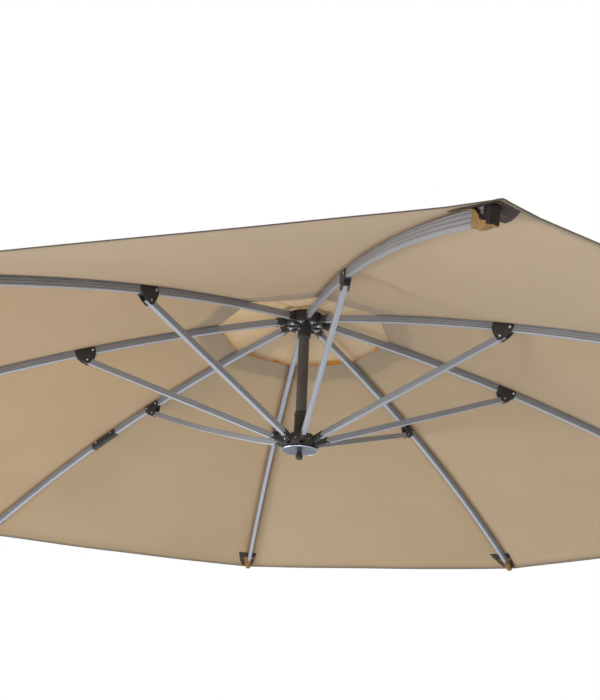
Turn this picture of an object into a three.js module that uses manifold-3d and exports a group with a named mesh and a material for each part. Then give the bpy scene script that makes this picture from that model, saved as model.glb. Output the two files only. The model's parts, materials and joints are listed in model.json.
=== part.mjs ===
// Cantilever parasol: an eight-sided canopy hung from a boom beside a weighted mast.
// Millimetres, +Z up. The origin is on the floor under the mast; the canopy hangs towards +X.
import * as THREE from 'three';
import { mergeVertices } from 'three/addons/utils/BufferGeometryUtils.js';
import Module from 'manifold-3d';

const wasm = await Module();
wasm.setup();

// ---- driving dimensions ----
const deg = Math.PI / 180;
const seam = 0.3; // gap kept between touching pieces
const slip = 0.6; // gap on each side of pieces that move past each other
const pinPlay = 0.4; // radial play of a pin in its hole
const smallHole = 8; // sides of the small pins and holes
const fullRound = 32; // sides of the large round pieces

const reach = 1950; // mast axis to canopy axis
const crownHeight = 2480; // floor to the plane of the rib hinges

const ribLetters = ['a', 'b', 'c', 'd', 'e', 'f', 'g', 'h'];
const firstAzimuth = -45; // rib a; the others follow clockwise seen from above
const jointedRib = 'd'; // the rib beside the mast is made in two lengths
const hingeRadius = 54; // rib and strut hinges, from the canopy axis
const ribStartSlope = 12.6 * deg; // fall of the rib at its hinge
const ribBend = 6746; // radius of the rib's arc
const ribLength = 1813;
const ribFacet = 200; // length of the flats that make up the arc
const ribRootBack = 12; // rib behind its hinge
const ribWidth = 15;
const ribHeight = 25;
const ribWall = 1.5;
const attachAlong = 718; // strut bracket, along the rib from its hinge

const bracketHalfLength = 34;
const bracketPlate = 3;
const bracketNose = 14; // radius round the strut pivot
const bracketLip = 1.5; // rib shows this much above the bracket
const bracketWeb = 2.5;
const ribSeat = 1; // a straight floor under the curved rib
const strutPinRadius = 3;

const strutWidth = 15;
const strutHeight = 20;
const strutWall = 1.5;
const strutOverhang = 10; // strut beyond each of its pivots
const strutTurnRoom = 0.858; // between the strut's turning end and the bracket's web
const strutBow = { d: 14 }; // this strut has taken a set under load
const attachDrop = ribHeight / 2 + ribSeat + bracketWeb
  + Math.hypot(strutOverhang, strutHeight / 2) + strutTurnRoom; // strut pivot below the rib's centre line

const spliceCentre = 1003; // along rib d from its hinge
const spliceLength = 136;
const spliceWall = 2.2;

const ringWire = 2; // radius of the hinge rings' wire
const crownRadius = 66;
const crownBelow = 18;
const crownAbove = 22;
const crownRoof = 4;
const slotBack = 20; // slot behind the hinge, room for the rib root to turn
const tubeRadius = 19;
const tubeWall = 2;
const tubeLength = 442;
const collarWall = 4.7;
const collarLength = 40;

const runnerRadius = 60;
const runnerAbove = 18;
const runnerBelow = 22;
const runnerFloor = 4;
const sleeveWall = 2.2;
const sleeveTop = 106; // above the strut hinges
const discRadius = 62;
const discThickness = 5;
const discGap = 3;
const knobRadius = 12;
const knobLength = 30;

const clothThickness = 1.2;
const clothGap = 3; // canopy above the ribs, whose flats it bridges
const ventRadius = 315; // opening under the vent cap, measured along a rib
const rimBeyondRib = 22; // hem past the rib ends
const capRadius = 415;
const capTop = 40; // vent cap at the post, above the hinges
const capDrop = 100; // fall of the vent cap from post to edge
const capShoulder = 0.48; // share of that fall at half its radius

const postRadius = 18;
const capHoleRoom = 6; // vent cap's hole beyond the post
const postFlange = 30;
const postFlangeThickness = 6;
const postEyeWidth = 30;
const postEyeHalf = 20;
const hangerHeight = 150; // tilt hinge above the rib hinges
const tiltPinRadius = 6;

const boomSlope = 17 * deg;
const boomWidth = 40;
const boomHeight = 70;
const boomRootHeight = 30;
const boomTipHeight = 52;
const boomTaper = 0.12; // share of the boom's length over which its root swells
const boomWall = 2.5;
const boomRootBack = 12;
const boomEndShort = 70; // tube stops this far before the tilt hinge
const forkPlate = 8;
const forkInsert = 60;

const mastDepth = 70; // along X
const mastWidth = 50; // along Y
const mastWall = 2.5;
const mastCorner = 12;
const sliderWall = 11;
const pivotStandoff = 19; // boom and stay pivots, in front of the slider
const pivotForward = mastDepth / 2 + sliderWall + pivotStandoff;
const stayLength = 700;
const stayPlate = 5;
const stayHeight = 30;
const linkPinRadius = 6;
const headAbove = 36; // mast head over the stay pivot
const headSkirt = 70;
const headWall = 5;
const lugHalf = 22;

const sliderBelow = 130;
const sliderAbove = 50;
const leverLength = 80;
const leverWidth = 30;
const leverThickness = 8;
const leverPivotBelow = 20;

const crankHeight = 1150;
const housingLength = 130;
const housingDepth = 48;
const housingProud = 5; // housing wider than the mast, on each side
const housingCorner = 14;
const spindleRadius = 8;
const crankThrow = 125;
const crankHubRadius = 17;
const crankPlate = 9;
const knobPinRadius = 4;
const crankKnobRadius = 14;
const crankKnobLength = 72;

const crossLength = 1000;
const flangeWidth = 150;
const flangeThickness = 4;
const beamWidth = 50;
const beamTop = 60;
const beamWall = 3;
const socketRadius = 72;
const socketTop = 150;
const footRadius = 60;
const footFlangeRadius = 72;
const footFlangeThickness = 12;
const footBossHeight = 100;
const footBossWall = 7;
const slabSide = 440;
const slabThickness = 50;
const slabGap = 2;
const pedalLength = 95;
const pedalWidth = 64;
const pedalThickness = 7;
const pedalHeight = 104;
const pedalBracket = 12;
const pedalHub = 8; // radius about the pedal's pin
const pedalLug = 8; // thickness of the lugs beside the pedal
const pedalLugHalf = 10; // half the lugs' height
const pedalPinRadius = 4;

// ---- materials ----
const alloy = () => new THREE.MeshStandardMaterial({ color: 0x8f9296, roughness: 0.42, metalness: 0.85 });
const charcoal = () => new THREE.MeshStandardMaterial({ color: 0x393533, roughness: 0.6, metalness: 0.0 });
const steel = () => new THREE.MeshStandardMaterial({ color: 0xb9bcc0, roughness: 0.28, metalness: 1.0 });
const coated = () => new THREE.MeshStandardMaterial({ color: 0x3f3c3a, roughness: 0.5, metalness: 0.4 });
const cloth = () => new THREE.MeshStandardMaterial({ color: 0xb39a78, roughness: 0.9, metalness: 0.0 });
const concrete = () => new THREE.MeshStandardMaterial({ color: 0x9b9890, roughness: 0.95, metalness: 0.0 });

// ---- joining and cutting ----
function solid(geometry) {
  const bare = geometry.clone();
  bare.deleteAttribute('normal');
  bare.deleteAttribute('uv');
  const merged = mergeVertices(bare);
  return new wasm.Manifold(new wasm.Mesh({
    numProp: 3,
    vertProperties: new Float32Array(merged.attributes.position.array),
    triVerts: new Uint32Array(merged.index.array),
  }));
}

function surface(body) {
  const mesh = body.getMesh();
  const geometry = new THREE.BufferGeometry();
  geometry.setAttribute('position', new THREE.BufferAttribute(mesh.vertProperties, 3));
  geometry.setIndex(new THREE.BufferAttribute(mesh.triVerts, 1));
  return geometry;
}

function join(...geometries) {
  return surface(geometries.map(solid).reduce((sum, next) => sum.add(next)));
}

function cut(geometry, ...tools) {
  return surface(tools.map(solid).reduce((left, tool) => left.subtract(tool), solid(geometry)));
}

// ---- basic shapes ----
function block(x0, x1, y0, y1, z0, z1) {
  return new THREE.BoxGeometry(x1 - x0, y1 - y0, z1 - z0)
    .translate((x0 + x1) / 2, (y0 + y1) / 2, (z0 + z1) / 2);
}

function rodUp(radius, z0, z1, sides = 20) {
  return new THREE.CylinderGeometry(radius, radius, z1 - z0, sides)
    .rotateX(Math.PI / 2).translate(0, 0, (z0 + z1) / 2);
}

function rodAcross(radius, y0, y1, x, z, sides = 12) {
  return new THREE.CylinderGeometry(radius, radius, y1 - y0, sides).translate(x, (y0 + y1) / 2, z);
}

function tubeUp(outer, inner, z0, z1, sides = 20) {
  return cut(rodUp(outer, z0, z1, sides), rodUp(inner, z0 - 1, z1 + 1, sides));
}

// rounded rectangle standing along Z
function roundedPrism(depth, width, corner, z0, z1) {
  const x = depth / 2;
  const y = width / 2;
  const shape = new THREE.Shape();
  shape.moveTo(-x + corner, -y);
  shape.lineTo(x - corner, -y);
  shape.absarc(x - corner, -y + corner, corner, -Math.PI / 2, 0);
  shape.lineTo(x, y - corner);
  shape.absarc(x - corner, y - corner, corner, 0, Math.PI / 2);
  shape.lineTo(-x + corner, y);
  shape.absarc(-x + corner, y - corner, corner, Math.PI / 2, Math.PI);
  shape.lineTo(-x, -y + corner);
  shape.absarc(-x + corner, -y + corner, corner, Math.PI, 1.5 * Math.PI);
  return new THREE.ExtrudeGeometry(shape, { depth: z1 - z0, bevelEnabled: false, curveSegments: 3 })
    .translate(0, 0, z0);
}

// a box bent to follow place(along, across, up), each counted from -0.5 to 0.5
function bentBox(steps, place) {
  const box = new THREE.BoxGeometry(1, 1, 1, steps, 1, 1);
  const corners = box.attributes.position;
  for (let i = 0; i < corners.count; i += 1) {
    const [x, y, z] = place(corners.getX(i), corners.getY(i), corners.getZ(i));
    corners.setXYZ(i, x, y, z);
  }
  return box;
}

// an octagonal ring of wire: its flats are the hinge pins
function hingeRing(wire, z) {
  return new THREE.TorusGeometry(hingeRadius / Math.cos(Math.PI / 8), wire, smallHole, 8)
    .rotateZ(Math.PI / 8).translate(0, 0, z);
}

// ---- rib and strut geometry, in the plane of one rib: x outwards, z up from the hinges ----
function ribPoint(along, offset = 0) {
  const slope = ribStartSlope + along / ribBend;
  return {
    x: hingeRadius + ribBend * (Math.sin(slope) - Math.sin(ribStartSlope)) + offset * Math.sin(slope),
    z: ribBend * (Math.cos(slope) - Math.cos(ribStartSlope)) + offset * Math.cos(slope),
    slope,
  };
}

const strutPivot = ribPoint(attachAlong, -attachDrop);
const linkLength = Math.hypot(strutPivot.x - hingeRadius, strutPivot.z);
const linkSlope = Math.atan2(-strutPivot.z, strutPivot.x - hingeRadius);
const runnerZ = 2 * strutPivot.z; // strut and rib link are equal, so the runner hangs twice as low

function ribBar(from, to, grow) {
  const steps = Math.max(2, Math.round((to - from) / ribFacet));
  return bentBox(steps, (u, v, w) => {
    const p = ribPoint(from + (u + 0.5) * (to - from), w * (ribHeight + 2 * grow));
    return [p.x, v * (ribWidth + 2 * grow), p.z];
  });
}

function ribTube(from, to) {
  return cut(ribBar(from, to, 0), ribBar(from - ribWidth, to + ribWidth, -ribWall));
}

function ribWithEye(from, to) {
  return cut(ribTube(from, to), rodAcross(ringWire + pinPlay, -ribWidth, ribWidth, hingeRadius, 0, smallHole));
}

function strutBar(grow, extra, bow) {
  const from = -strutOverhang - extra;
  const to = linkLength + strutOverhang + extra;
  return bentBox(bow ? 8 : 1, (u, v, w) => {
    const along = from + (u + 0.5) * (to - from);
    const share = Math.min(Math.max(along / linkLength, 0), 1);
    return [along, v * (strutWidth + 2 * grow), w * (strutHeight + 2 * grow) - 4 * bow * share * (1 - share)];
  });
}

function strut(bow) {
  const tube = cut(strutBar(0, 0, bow), strutBar(-strutWall, strutWidth, bow));
  return cut(tube,
    rodAcross(ringWire + pinPlay, -strutWidth, strutWidth, 0, 0, smallHole),
    rodAcross(strutPinRadius + pinPlay, -strutWidth, strutWidth, linkLength, 0, smallHole))
    .rotateY(-linkSlope).translate(hingeRadius, 0, runnerZ);
}

// shield-shaped saddle that cradles the rib and carries the strut between its cheeks
function bracket() {
  const inner = ribWidth / 2 + seam;
  const outer = inner + bracketPlate;
  const top = attachDrop + ribHeight / 2 - bracketLip;
  const shoulder = attachDrop - ribHeight / 4;
  const shield = new THREE.Shape();
  shield.moveTo(-bracketHalfLength, top);
  shield.lineTo(-bracketHalfLength, shoulder);
  shield.quadraticCurveTo(-bracketHalfLength + 8, 4, -bracketNose * 0.9, -bracketNose * 0.44);
  shield.absarc(0, 0, bracketNose, 206 * deg, 334 * deg);
  shield.quadraticCurveTo(bracketHalfLength - 8, 4, bracketHalfLength, shoulder);
  shield.lineTo(bracketHalfLength, top);
  const cheeks = new THREE.ExtrudeGeometry(shield, {
    depth: 2 * outer, bevelEnabled: false, curveSegments: 4,
  }).rotateX(Math.PI / 2).translate(0, outer, 0);
  const ribFloor = attachDrop - ribHeight / 2 - ribSeat;
  const far = 2 * bracketHalfLength;
  const saddle = cut(cheeks,
    block(-far, far, -inner, inner, ribFloor, top + far),
    block(-far, far, -inner, inner, -far, ribFloor - bracketWeb));
  return join(saddle, rodAcross(strutPinRadius, -outer, outer, 0, 0, smallHole))
    .rotateY(strutPivot.slope).translate(strutPivot.x, 0, strutPivot.z);
}

// channel that joins the two lengths of the jointed rib
function spliceChannel() {
  const from = spliceCentre - spliceLength / 2;
  const to = spliceCentre + spliceLength / 2;
  const lid = ribHeight / 2 - bracketLip;
  const channel = (half, low, high, extra) => bentBox(3, (u, v, w) => {
    const p = ribPoint(from - extra + (u + 0.5) * (to - from + 2 * extra), low + (w + 0.5) * (high - low));
    return [p.x, 2 * v * half, p.z];
  });
  const inner = ribWidth / 2 + seam;
  const floor = -ribHeight / 2 - ribSeat;
  return cut(channel(inner + spliceWall, floor - spliceWall, lid, 0), channel(inner, floor, lid + 5, 5));
}

// ---- crown and runner, about the canopy axis ----
function slots(width, z0, z1, turn = 0) {
  return ribLetters.map((letter, i) =>
    block(hingeRadius - slotBack, crownRadius + slotBack, -width / 2, width / 2, z0, z1)
      .rotateZ(turn + i * Math.PI / 4));
}

function crownHub() {
  return cut(rodUp(crownRadius, -crownBelow, crownAbove, fullRound),
    rodUp(tubeRadius + seam, -crownBelow - 1, crownAbove + 1),
    ...slots(ribWidth + 2 * slip, -crownBelow - 1, crownAbove - crownRoof),
    hingeRing(ringWire + seam, 0));
}

function runner() {
  const top = runnerZ + runnerAbove;
  const bottom = runnerZ - runnerBelow;
  const bore = tubeRadius + slip;
  const sleeve = rodUp(bore + sleeveWall, top - 1, runnerZ + sleeveTop);
  const shell = join(rodUp(runnerRadius, bottom, top, fullRound), sleeve);
  return cut(shell,
    rodUp(bore, bottom + runnerFloor, runnerZ + sleeveTop + 1),
    ...slots(strutWidth + 2 * slip, bottom + runnerFloor, top + 1),
    hingeRing(ringWire + seam, runnerZ));
}

function runnerDisc() {
  const top = runnerZ - runnerBelow - seam;
  return join(rodUp(discRadius, top - discGap - discThickness, top - discGap, fullRound),
    rodUp(discRadius * 0.55, top - discGap - 1, top));
}

function pullKnob() {
  const top = runnerZ - runnerBelow - discGap - discThickness - 2 * seam;
  const outline = [
    [0, 0], [knobRadius * 0.75, 0], [knobRadius, knobLength * 0.2], [knobRadius, knobLength * 0.55],
    [knobRadius * 0.7, knobLength * 0.75], [knobRadius * 0.7, knobLength], [0, knobLength],
  ].map(([r, h]) => new THREE.Vector2(r, h));
  return new THREE.LatheGeometry(outline, 24).rotateX(Math.PI / 2).translate(0, 0, top - knobLength);
}

// ---- canopy: an eight-sided sheet, so its folds lie on the ribs ----
function eightSided(bottomLine, topLine) {
  const outline = [...bottomLine, ...topLine.reverse()];
  outline.push(outline[0]);
  return new THREE.LatheGeometry(outline.map(([r, z]) => new THREE.Vector2(r, z)), 8).rotateX(Math.PI / 2);
}

function canopy() {
  const from = ventRadius - hingeRadius;
  const to = ribLength + rimBeyondRib;
  const steps = 9;
  const line = (offset) => Array.from({ length: steps + 1 }, (unused, i) => {
    const p = ribPoint(from + (to - from) * i / steps, ribHeight / 2 + offset);
    return [p.x, p.z];
  });
  return eightSided(line(clothGap), line(clothGap + clothThickness));
}

function ventCap() {
  const capHole = postRadius + capHoleRoom;
  const line = (lift) => [
    [capHole, capTop + lift],
    [(capHole + capRadius) / 2, capTop - capDrop * capShoulder + lift],
    [capRadius, capTop - capDrop + lift],
  ];
  return eightSided(line(0), line(clothThickness));
}

// ---- hanger and boom ----
const pivotBase = crownHeight + hangerHeight - Math.tan(boomSlope) * (reach - pivotForward);
const boomLength = (reach - pivotForward) / Math.cos(boomSlope);
const stayTop = pivotBase + 2 * stayLength * Math.sin(boomSlope);

function hangerPost() {
  const foot = crownAbove + seam;
  return cut(
    join(rodUp(postFlange, foot, foot + postFlangeThickness),
      rodUp(postRadius, foot, hangerHeight - 2 * postEyeHalf),
      block(-postEyeHalf, postEyeHalf, -postEyeWidth / 2, postEyeWidth / 2,
        hangerHeight - 2.5 * postEyeHalf, hangerHeight),
      rodAcross(postEyeHalf, -postEyeWidth / 2, postEyeWidth / 2, 0, hangerHeight, 24)),
    rodAcross(tiltPinRadius + pinPlay, -postEyeWidth, postEyeWidth, 0, hangerHeight));
}

function boomDepth(share) {
  if (share < boomTaper) return boomRootHeight + (boomHeight - boomRootHeight) * Math.max(share, 0) / boomTaper;
  return boomHeight + (boomTipHeight - boomHeight) * (share - boomTaper) / (1 - boomTaper);
}

function boomBar(grow, extra) {
  const from = -boomRootBack - extra;
  const to = boomLength - boomEndShort + extra;
  return bentBox(16, (u, v, w) => {
    const along = from + (u + 0.5) * (to - from);
    return [along, v * (boomWidth + 2 * grow), w * (boomDepth(along / boomLength) + 2 * grow)];
  });
}

function boomTube() {
  const far = boomWidth;
  return cut(boomBar(0, 0), boomBar(-boomWall, far),
    rodAcross(linkPinRadius + pinPlay, -far, far, 0, 0),
    rodAcross(linkPinRadius + pinPlay, -far, far, stayLength, 0));
}

function boomFork() {
  const start = boomLength - boomEndShort;
  const inner = postEyeWidth / 2 + slip;
  const outer = inner + forkPlate;
  const half = boomTipHeight / 2;
  const plug = block(start - forkInsert, start + 2,
    -boomWidth / 2 + boomWall + seam, boomWidth / 2 - boomWall - seam,
    -half + boomWall + 2 * seam, half - boomWall - 2 * seam);
  const cheeks = join(block(start + seam, boomLength, -outer, outer, -half, half),
    rodAcross(half, -outer, outer, boomLength, 0, 28));
  const throat = block(boomLength - postEyeHalf * 2.2, boomLength + 2 * half, -inner, inner,
    -2 * half, 2 * half);
  return join(cut(cheeks, throat), plug, rodAcross(tiltPinRadius, -outer, outer, boomLength, 0));
}

// ---- mast, stay and slider ----
function mastTube() {
  const foot = socketTop + slip + footFlangeThickness + seam;
  const top = stayTop + headAbove - headWall - seam;
  return cut(roundedPrism(mastDepth, mastWidth, mastCorner, foot, top),
    roundedPrism(mastDepth - 2 * mastWall, mastWidth - 2 * mastWall, mastCorner - mastWall, foot - 1, top + 1));
}

function mastHead() {
  const top = stayTop + headAbove;
  const grow = 2 * (headWall + seam);
  const capped = cut(
    roundedPrism(mastDepth + grow, mastWidth + grow, mastCorner + headWall, stayTop - headSkirt, top),
    roundedPrism(mastDepth + 2 * seam, mastWidth + 2 * seam, mastCorner,
      stayTop - headSkirt - 1, top - headWall));
  const lug = join(
    block(mastDepth / 2 + headWall / 2, pivotForward, -boomWidth / 2, boomWidth / 2,
      stayTop - lugHalf, stayTop + lugHalf),
    rodAcross(lugHalf, -boomWidth / 2, boomWidth / 2, pivotForward, stayTop, 24));
  return cut(join(capped, lug),
    rodAcross(linkPinRadius + pinPlay, -boomWidth, boomWidth, pivotForward, stayTop));
}

function stay() {
  const inner = boomWidth / 2 + slip;
  const outer = inner + stayPlate;
  const half = stayHeight / 2;
  const plate = (y0, y1) => join(block(0, stayLength, y0, y1, -half, half),
    rodAcross(half, y0, y1, 0, 0, 20), rodAcross(half, y0, y1, stayLength, 0, 20));
  return join(plate(inner, outer), plate(-outer, -inner),
    rodAcross(linkPinRadius, -outer, outer, 0, 0), rodAcross(linkPinRadius, -outer, outer, stayLength, 0))
    .rotateY(boomSlope).translate(pivotForward, 0, stayTop);
}

function slider() {
  const bore = { depth: mastDepth + 2 * slip, width: mastWidth + 2 * slip };
  const z0 = pivotBase - sliderBelow;
  const z1 = pivotBase + sliderAbove;
  const sleeve = cut(
    roundedPrism(mastDepth + 2 * sliderWall, mastWidth + 2 * sliderWall, mastCorner + sliderWall, z0, z1),
    roundedPrism(bore.depth, bore.width, mastCorner, z0 - 1, z1 + 1));
  const inner = boomWidth / 2 + slip;
  const lug = (y0, y1) => join(
    block(mastDepth / 2 + sliderWall / 2, pivotForward, y0, y1, pivotBase - lugHalf, pivotBase + lugHalf),
    rodAcross(lugHalf, y0, y1, pivotForward, pivotBase, 24));
  return join(sleeve, lug(inner, inner + stayPlate), lug(-inner - stayPlate, -inner),
    rodAcross(linkPinRadius, -inner - stayPlate, inner + stayPlate, pivotForward, pivotBase));
}

function sliderLever() {
  const face = -mastDepth / 2 - sliderWall - slip;
  const top = pivotBase - leverPivotBelow;
  return join(block(face - leverThickness, face, -leverWidth / 2, leverWidth / 2, top - leverLength, top),
    rodAcross(leverThickness / 2, -leverWidth / 2, leverWidth / 2, face - leverThickness / 2, top, 12),
    rodAcross(leverThickness * 0.8, -leverWidth / 2, leverWidth / 2, face - leverThickness * 0.8,
      top - leverLength, 16));
}

// ---- crank ----
const housingFace = -mastWidth / 2 - seam - housingDepth;

function crankHousing() {
  const half = housingLength / 2;
  const shell = roundedPrism(mastDepth + 2 * housingProud, housingDepth, housingCorner,
    crankHeight - half, crankHeight + half)
    .translate(0, -mastWidth / 2 - seam - housingDepth / 2, 0);
  return cut(shell, rodAcross(spindleRadius + pinPlay, housingFace - 1, housingFace + housingDepth * 0.6,
    0, crankHeight, 20));
}

function crankArm() {
  const y1 = housingFace - slip;
  const y0 = y1 - crankPlate;
  const low = crankHeight - crankThrow;
  return join(
    rodAcross(crankHubRadius, y0, y1, 0, crankHeight, 28),
    rodAcross(spindleRadius, y0, housingFace + housingDepth * 0.5, 0, crankHeight, 20),
    block(-crankHubRadius * 0.6, crankHubRadius * 0.6, y0, y1, low, crankHeight),
    rodAcross(crankHubRadius * 0.75, y0, y1, 0, low, 24),
    rodAcross(knobPinRadius, y0 - crankKnobLength * 0.8, y0, 0, low, 12));
}

function crankKnob() {
  const y1 = housingFace - slip - crankPlate - slip;
  const outline = [
    [0, 0], [crankKnobRadius * 0.8, 0], [crankKnobRadius, 6], [crankKnobRadius * 0.86, crankKnobLength * 0.5],
    [crankKnobRadius, crankKnobLength - 8], [crankKnobRadius * 0.7, crankKnobLength], [0, crankKnobLength],
  ].map(([r, h]) => new THREE.Vector2(r, h));
  const grip = new THREE.LatheGeometry(outline, 24)
    .translate(0, y1 - crankKnobLength, crankHeight - crankThrow);
  return cut(grip, rodAcross(knobPinRadius + pinPlay, y1 - crankKnobLength * 0.9, y1 + 1,
    0, crankHeight - crankThrow, 12));
}

// ---- base ----
function baseCross() {
  const far = crossLength / 2;
  const flange = flangeWidth / 2;
  const beam = beamWidth / 2;
  const hollow = beam - beamWall;
  const frame = join(
    block(-far, far, -flange, flange, 0, flangeThickness),
    block(-flange, flange, -far, far, 0, flangeThickness),
    block(-far, far, -beam, beam, 0, beamTop), block(-beam, beam, -far, far, 0, beamTop),
    rodUp(socketRadius, flangeThickness, socketTop, fullRound));
  const floor = flangeThickness + beamWall;
  return cut(frame,
    block(-far - 1, far + 1, -hollow, hollow, floor, beamTop - beamWall),
    block(-hollow, hollow, -far - 1, far + 1, floor, beamTop - beamWall),
    rodUp(footRadius + slip, beamTop + flangeThickness, socketTop + 1, fullRound));
}

function mastFoot() {
  const z0 = beamTop + flangeThickness + slip;
  const z1 = socketTop + slip;
  const z2 = z1 + footFlangeThickness;
  const boss = cut(
    roundedPrism(mastDepth + 2 * footBossWall, mastWidth + 2 * footBossWall, mastCorner + footBossWall,
      z1 + 1, z2 + footBossHeight),
    roundedPrism(mastDepth + 2 * seam, mastWidth + 2 * seam, mastCorner, z2, z2 + footBossHeight + 1));
  return join(rodUp(footRadius, z0, z1 + 1, fullRound), rodUp(footFlangeRadius, z1, z2, fullRound), boss);
}

function slab() {
  const near = Math.max(beamWidth / 2, socketRadius / Math.SQRT2) + slabGap;
  const z0 = flangeThickness + seam;
  return block(near, near + slabSide, near, near + slabSide, z0, z0 + slabThickness);
}

const pedalPivotY = -socketRadius - pedalBracket;

function pedalMount() {
  const half = pedalWidth / 2;
  const near = half + slip;
  const far = near + pedalLug;
  const low = pedalHeight - pedalLugHalf;
  const high = pedalHeight + pedalLugHalf;
  const root = -socketRadius + pedalLug;
  const lug = (x0, x1) => block(x0, x1, pedalPivotY - pedalHub, root, low, high);
  return join(lug(near, far), lug(-far, -near), block(-far, far, -socketRadius - 2, root, low, high),
    new THREE.CylinderGeometry(pedalPinRadius, pedalPinRadius, near + far, 16)
      .rotateZ(Math.PI / 2).translate(0, pedalPivotY, pedalHeight));
}

function pedal() {
  const half = pedalWidth / 2;
  const hub = new THREE.CylinderGeometry(pedalHub, pedalHub, pedalWidth, 20).rotateZ(Math.PI / 2)
    .translate(0, pedalPivotY, pedalHeight);
  const plate = block(-half, half, pedalPivotY - pedalLength, pedalPivotY,
    pedalHeight - pedalThickness / 2, pedalHeight + pedalThickness / 2);
  const play = pedalPinRadius + pinPlay;
  const bore = new THREE.CylinderGeometry(play, play, pedalWidth + 4, 16)
    .rotateZ(Math.PI / 2).translate(0, pedalPivotY, pedalHeight);
  return cut(join(hub, plate), bore);
}

// ---- assembly ----
function part(name, geometry, material) {
  const mesh = new THREE.Mesh(geometry, material);
  mesh.name = name;
  return mesh;
}

const parasol = new THREE.Group();

parasol.add(
  part('base_cross', join(baseCross(), pedalMount()), coated()),
  part('brake_pedal', pedal(), charcoal()),
  part('mast_foot', mastFoot(), coated()),
  part('mast_tube', mastTube(), coated()),
  part('mast_head', mastHead(), charcoal()),
  part('boom_stay', stay(), coated()),
  part('slider', slider(), charcoal()),
  part('slider_lever', sliderLever(), charcoal()),
  part('crank_housing', crankHousing(), charcoal()),
  part('crank_arm', crankArm(), coated()),
  part('crank_knob', crankKnob(), charcoal()),
);

for (let i = 0; i < 4; i += 1) {
  const quarter = part(`ballast_slab_${i + 1}`, slab(), concrete());
  quarter.rotation.z = i * Math.PI / 2;
  parasol.add(quarter);
}

const boom = new THREE.Group();
boom.position.set(pivotForward, 0, pivotBase);
boom.rotation.y = -boomSlope;
boom.add(part('boom_tube', boomTube(), coated()), part('boom_fork', boomFork(), charcoal()));
parasol.add(boom);

const head = new THREE.Group();
head.position.set(reach, 0, crownHeight);
head.add(
  part('hanger_post', hangerPost(), charcoal()),
  part('crown_hub', crownHub(), charcoal()),
  part('crown_hinge_ring', hingeRing(ringWire, 0), steel()),
  part('crown_collar',
    tubeUp(tubeRadius + seam + collarWall, tubeRadius + seam, -crownBelow - seam - collarLength,
      -crownBelow - seam), charcoal()),
  part('centre_tube',
    tubeUp(tubeRadius, tubeRadius - tubeWall, crownAbove - tubeLength, crownAbove), coated()),
  part('vent_cap', ventCap(), cloth()),
  part('canopy', canopy(), cloth()),
  part('runner', runner(), charcoal()),
  part('runner_hinge_ring', hingeRing(ringWire, runnerZ), steel()),
  part('runner_disc', runnerDisc(), steel()),
  part('pull_knob', pullKnob(), charcoal()),
);

ribLetters.forEach((letter, i) => {
  const spoke = new THREE.Group();
  spoke.rotation.z = (firstAzimuth - 45 * i) * deg;
  spoke.add(
    part(`rib_bracket_${letter}`, bracket(), charcoal()),
    part(`strut_${letter}`, strut(strutBow[letter] ?? 0), alloy()),
  );
  if (letter === jointedRib) {
    spoke.add(
      part(`rib_${letter}`, ribWithEye(-ribRootBack, spliceCentre - seam / 2), alloy()),
      part(`rib_${letter}_outer`, ribTube(spliceCentre + seam / 2, ribLength), alloy()),
      part(`rib_${letter}_splice`, spliceChannel(), charcoal()),
    );
  } else {
    spoke.add(part(`rib_${letter}`, ribWithEye(-ribRootBack, ribLength), alloy()));
  }
  head.add(spoke);
});

parasol.add(head);

export default parasol;
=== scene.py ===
import json
import math
import bmesh
import bpy
from mathutils import Matrix, Quaternion, Vector, noise


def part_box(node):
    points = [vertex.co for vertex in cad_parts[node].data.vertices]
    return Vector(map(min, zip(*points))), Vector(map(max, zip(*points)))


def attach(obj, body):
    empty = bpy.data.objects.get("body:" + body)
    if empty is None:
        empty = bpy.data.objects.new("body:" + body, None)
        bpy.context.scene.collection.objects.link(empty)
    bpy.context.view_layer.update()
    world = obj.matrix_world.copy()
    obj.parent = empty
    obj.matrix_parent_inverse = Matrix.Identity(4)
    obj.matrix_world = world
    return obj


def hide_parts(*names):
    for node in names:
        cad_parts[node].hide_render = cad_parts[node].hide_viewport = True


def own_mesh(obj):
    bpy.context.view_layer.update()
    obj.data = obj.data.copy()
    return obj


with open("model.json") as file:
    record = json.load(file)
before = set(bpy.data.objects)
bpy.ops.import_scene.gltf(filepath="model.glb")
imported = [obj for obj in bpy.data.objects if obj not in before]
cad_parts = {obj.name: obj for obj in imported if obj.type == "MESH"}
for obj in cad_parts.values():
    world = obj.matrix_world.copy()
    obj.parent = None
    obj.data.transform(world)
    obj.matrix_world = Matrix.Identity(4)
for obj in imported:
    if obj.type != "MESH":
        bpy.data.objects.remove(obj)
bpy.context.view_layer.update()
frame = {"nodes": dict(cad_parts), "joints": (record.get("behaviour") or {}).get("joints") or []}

scene = bpy.context.scene
letters = "abcdefgh"
jointedRib = "d"  # the rib beside the mast, made in two lengths


# ---- camera, floor and light ----
studio = {
    "place": (3.5457, -2.1203, 1.2596),
    "towards": (-0.55812, 0.73417, 0.38665),
    "roll": 2.551,
    "lens": 41.75,
    "floorSize": 30.0,
    "floorDrop": 0.0005,
    "skyStrength": 1.0,
    "aim": (1.95, 0, 2.3),
    # name: place, size, power, colour
    "lights": {
        "key_light": ((-1.8, -3.3, 5.2), 3.0, 520.0, (1.0, 0.98, 0.95)),
        "front_light": ((5.2, -4.2, 0.9), 1.6, 60.0, (0.93, 0.96, 1.0)),
        "side_light": ((-2.6, -4.6, 0.7), 2.0, 280.0, (1.0, 0.98, 0.96)),
    },
}


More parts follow.
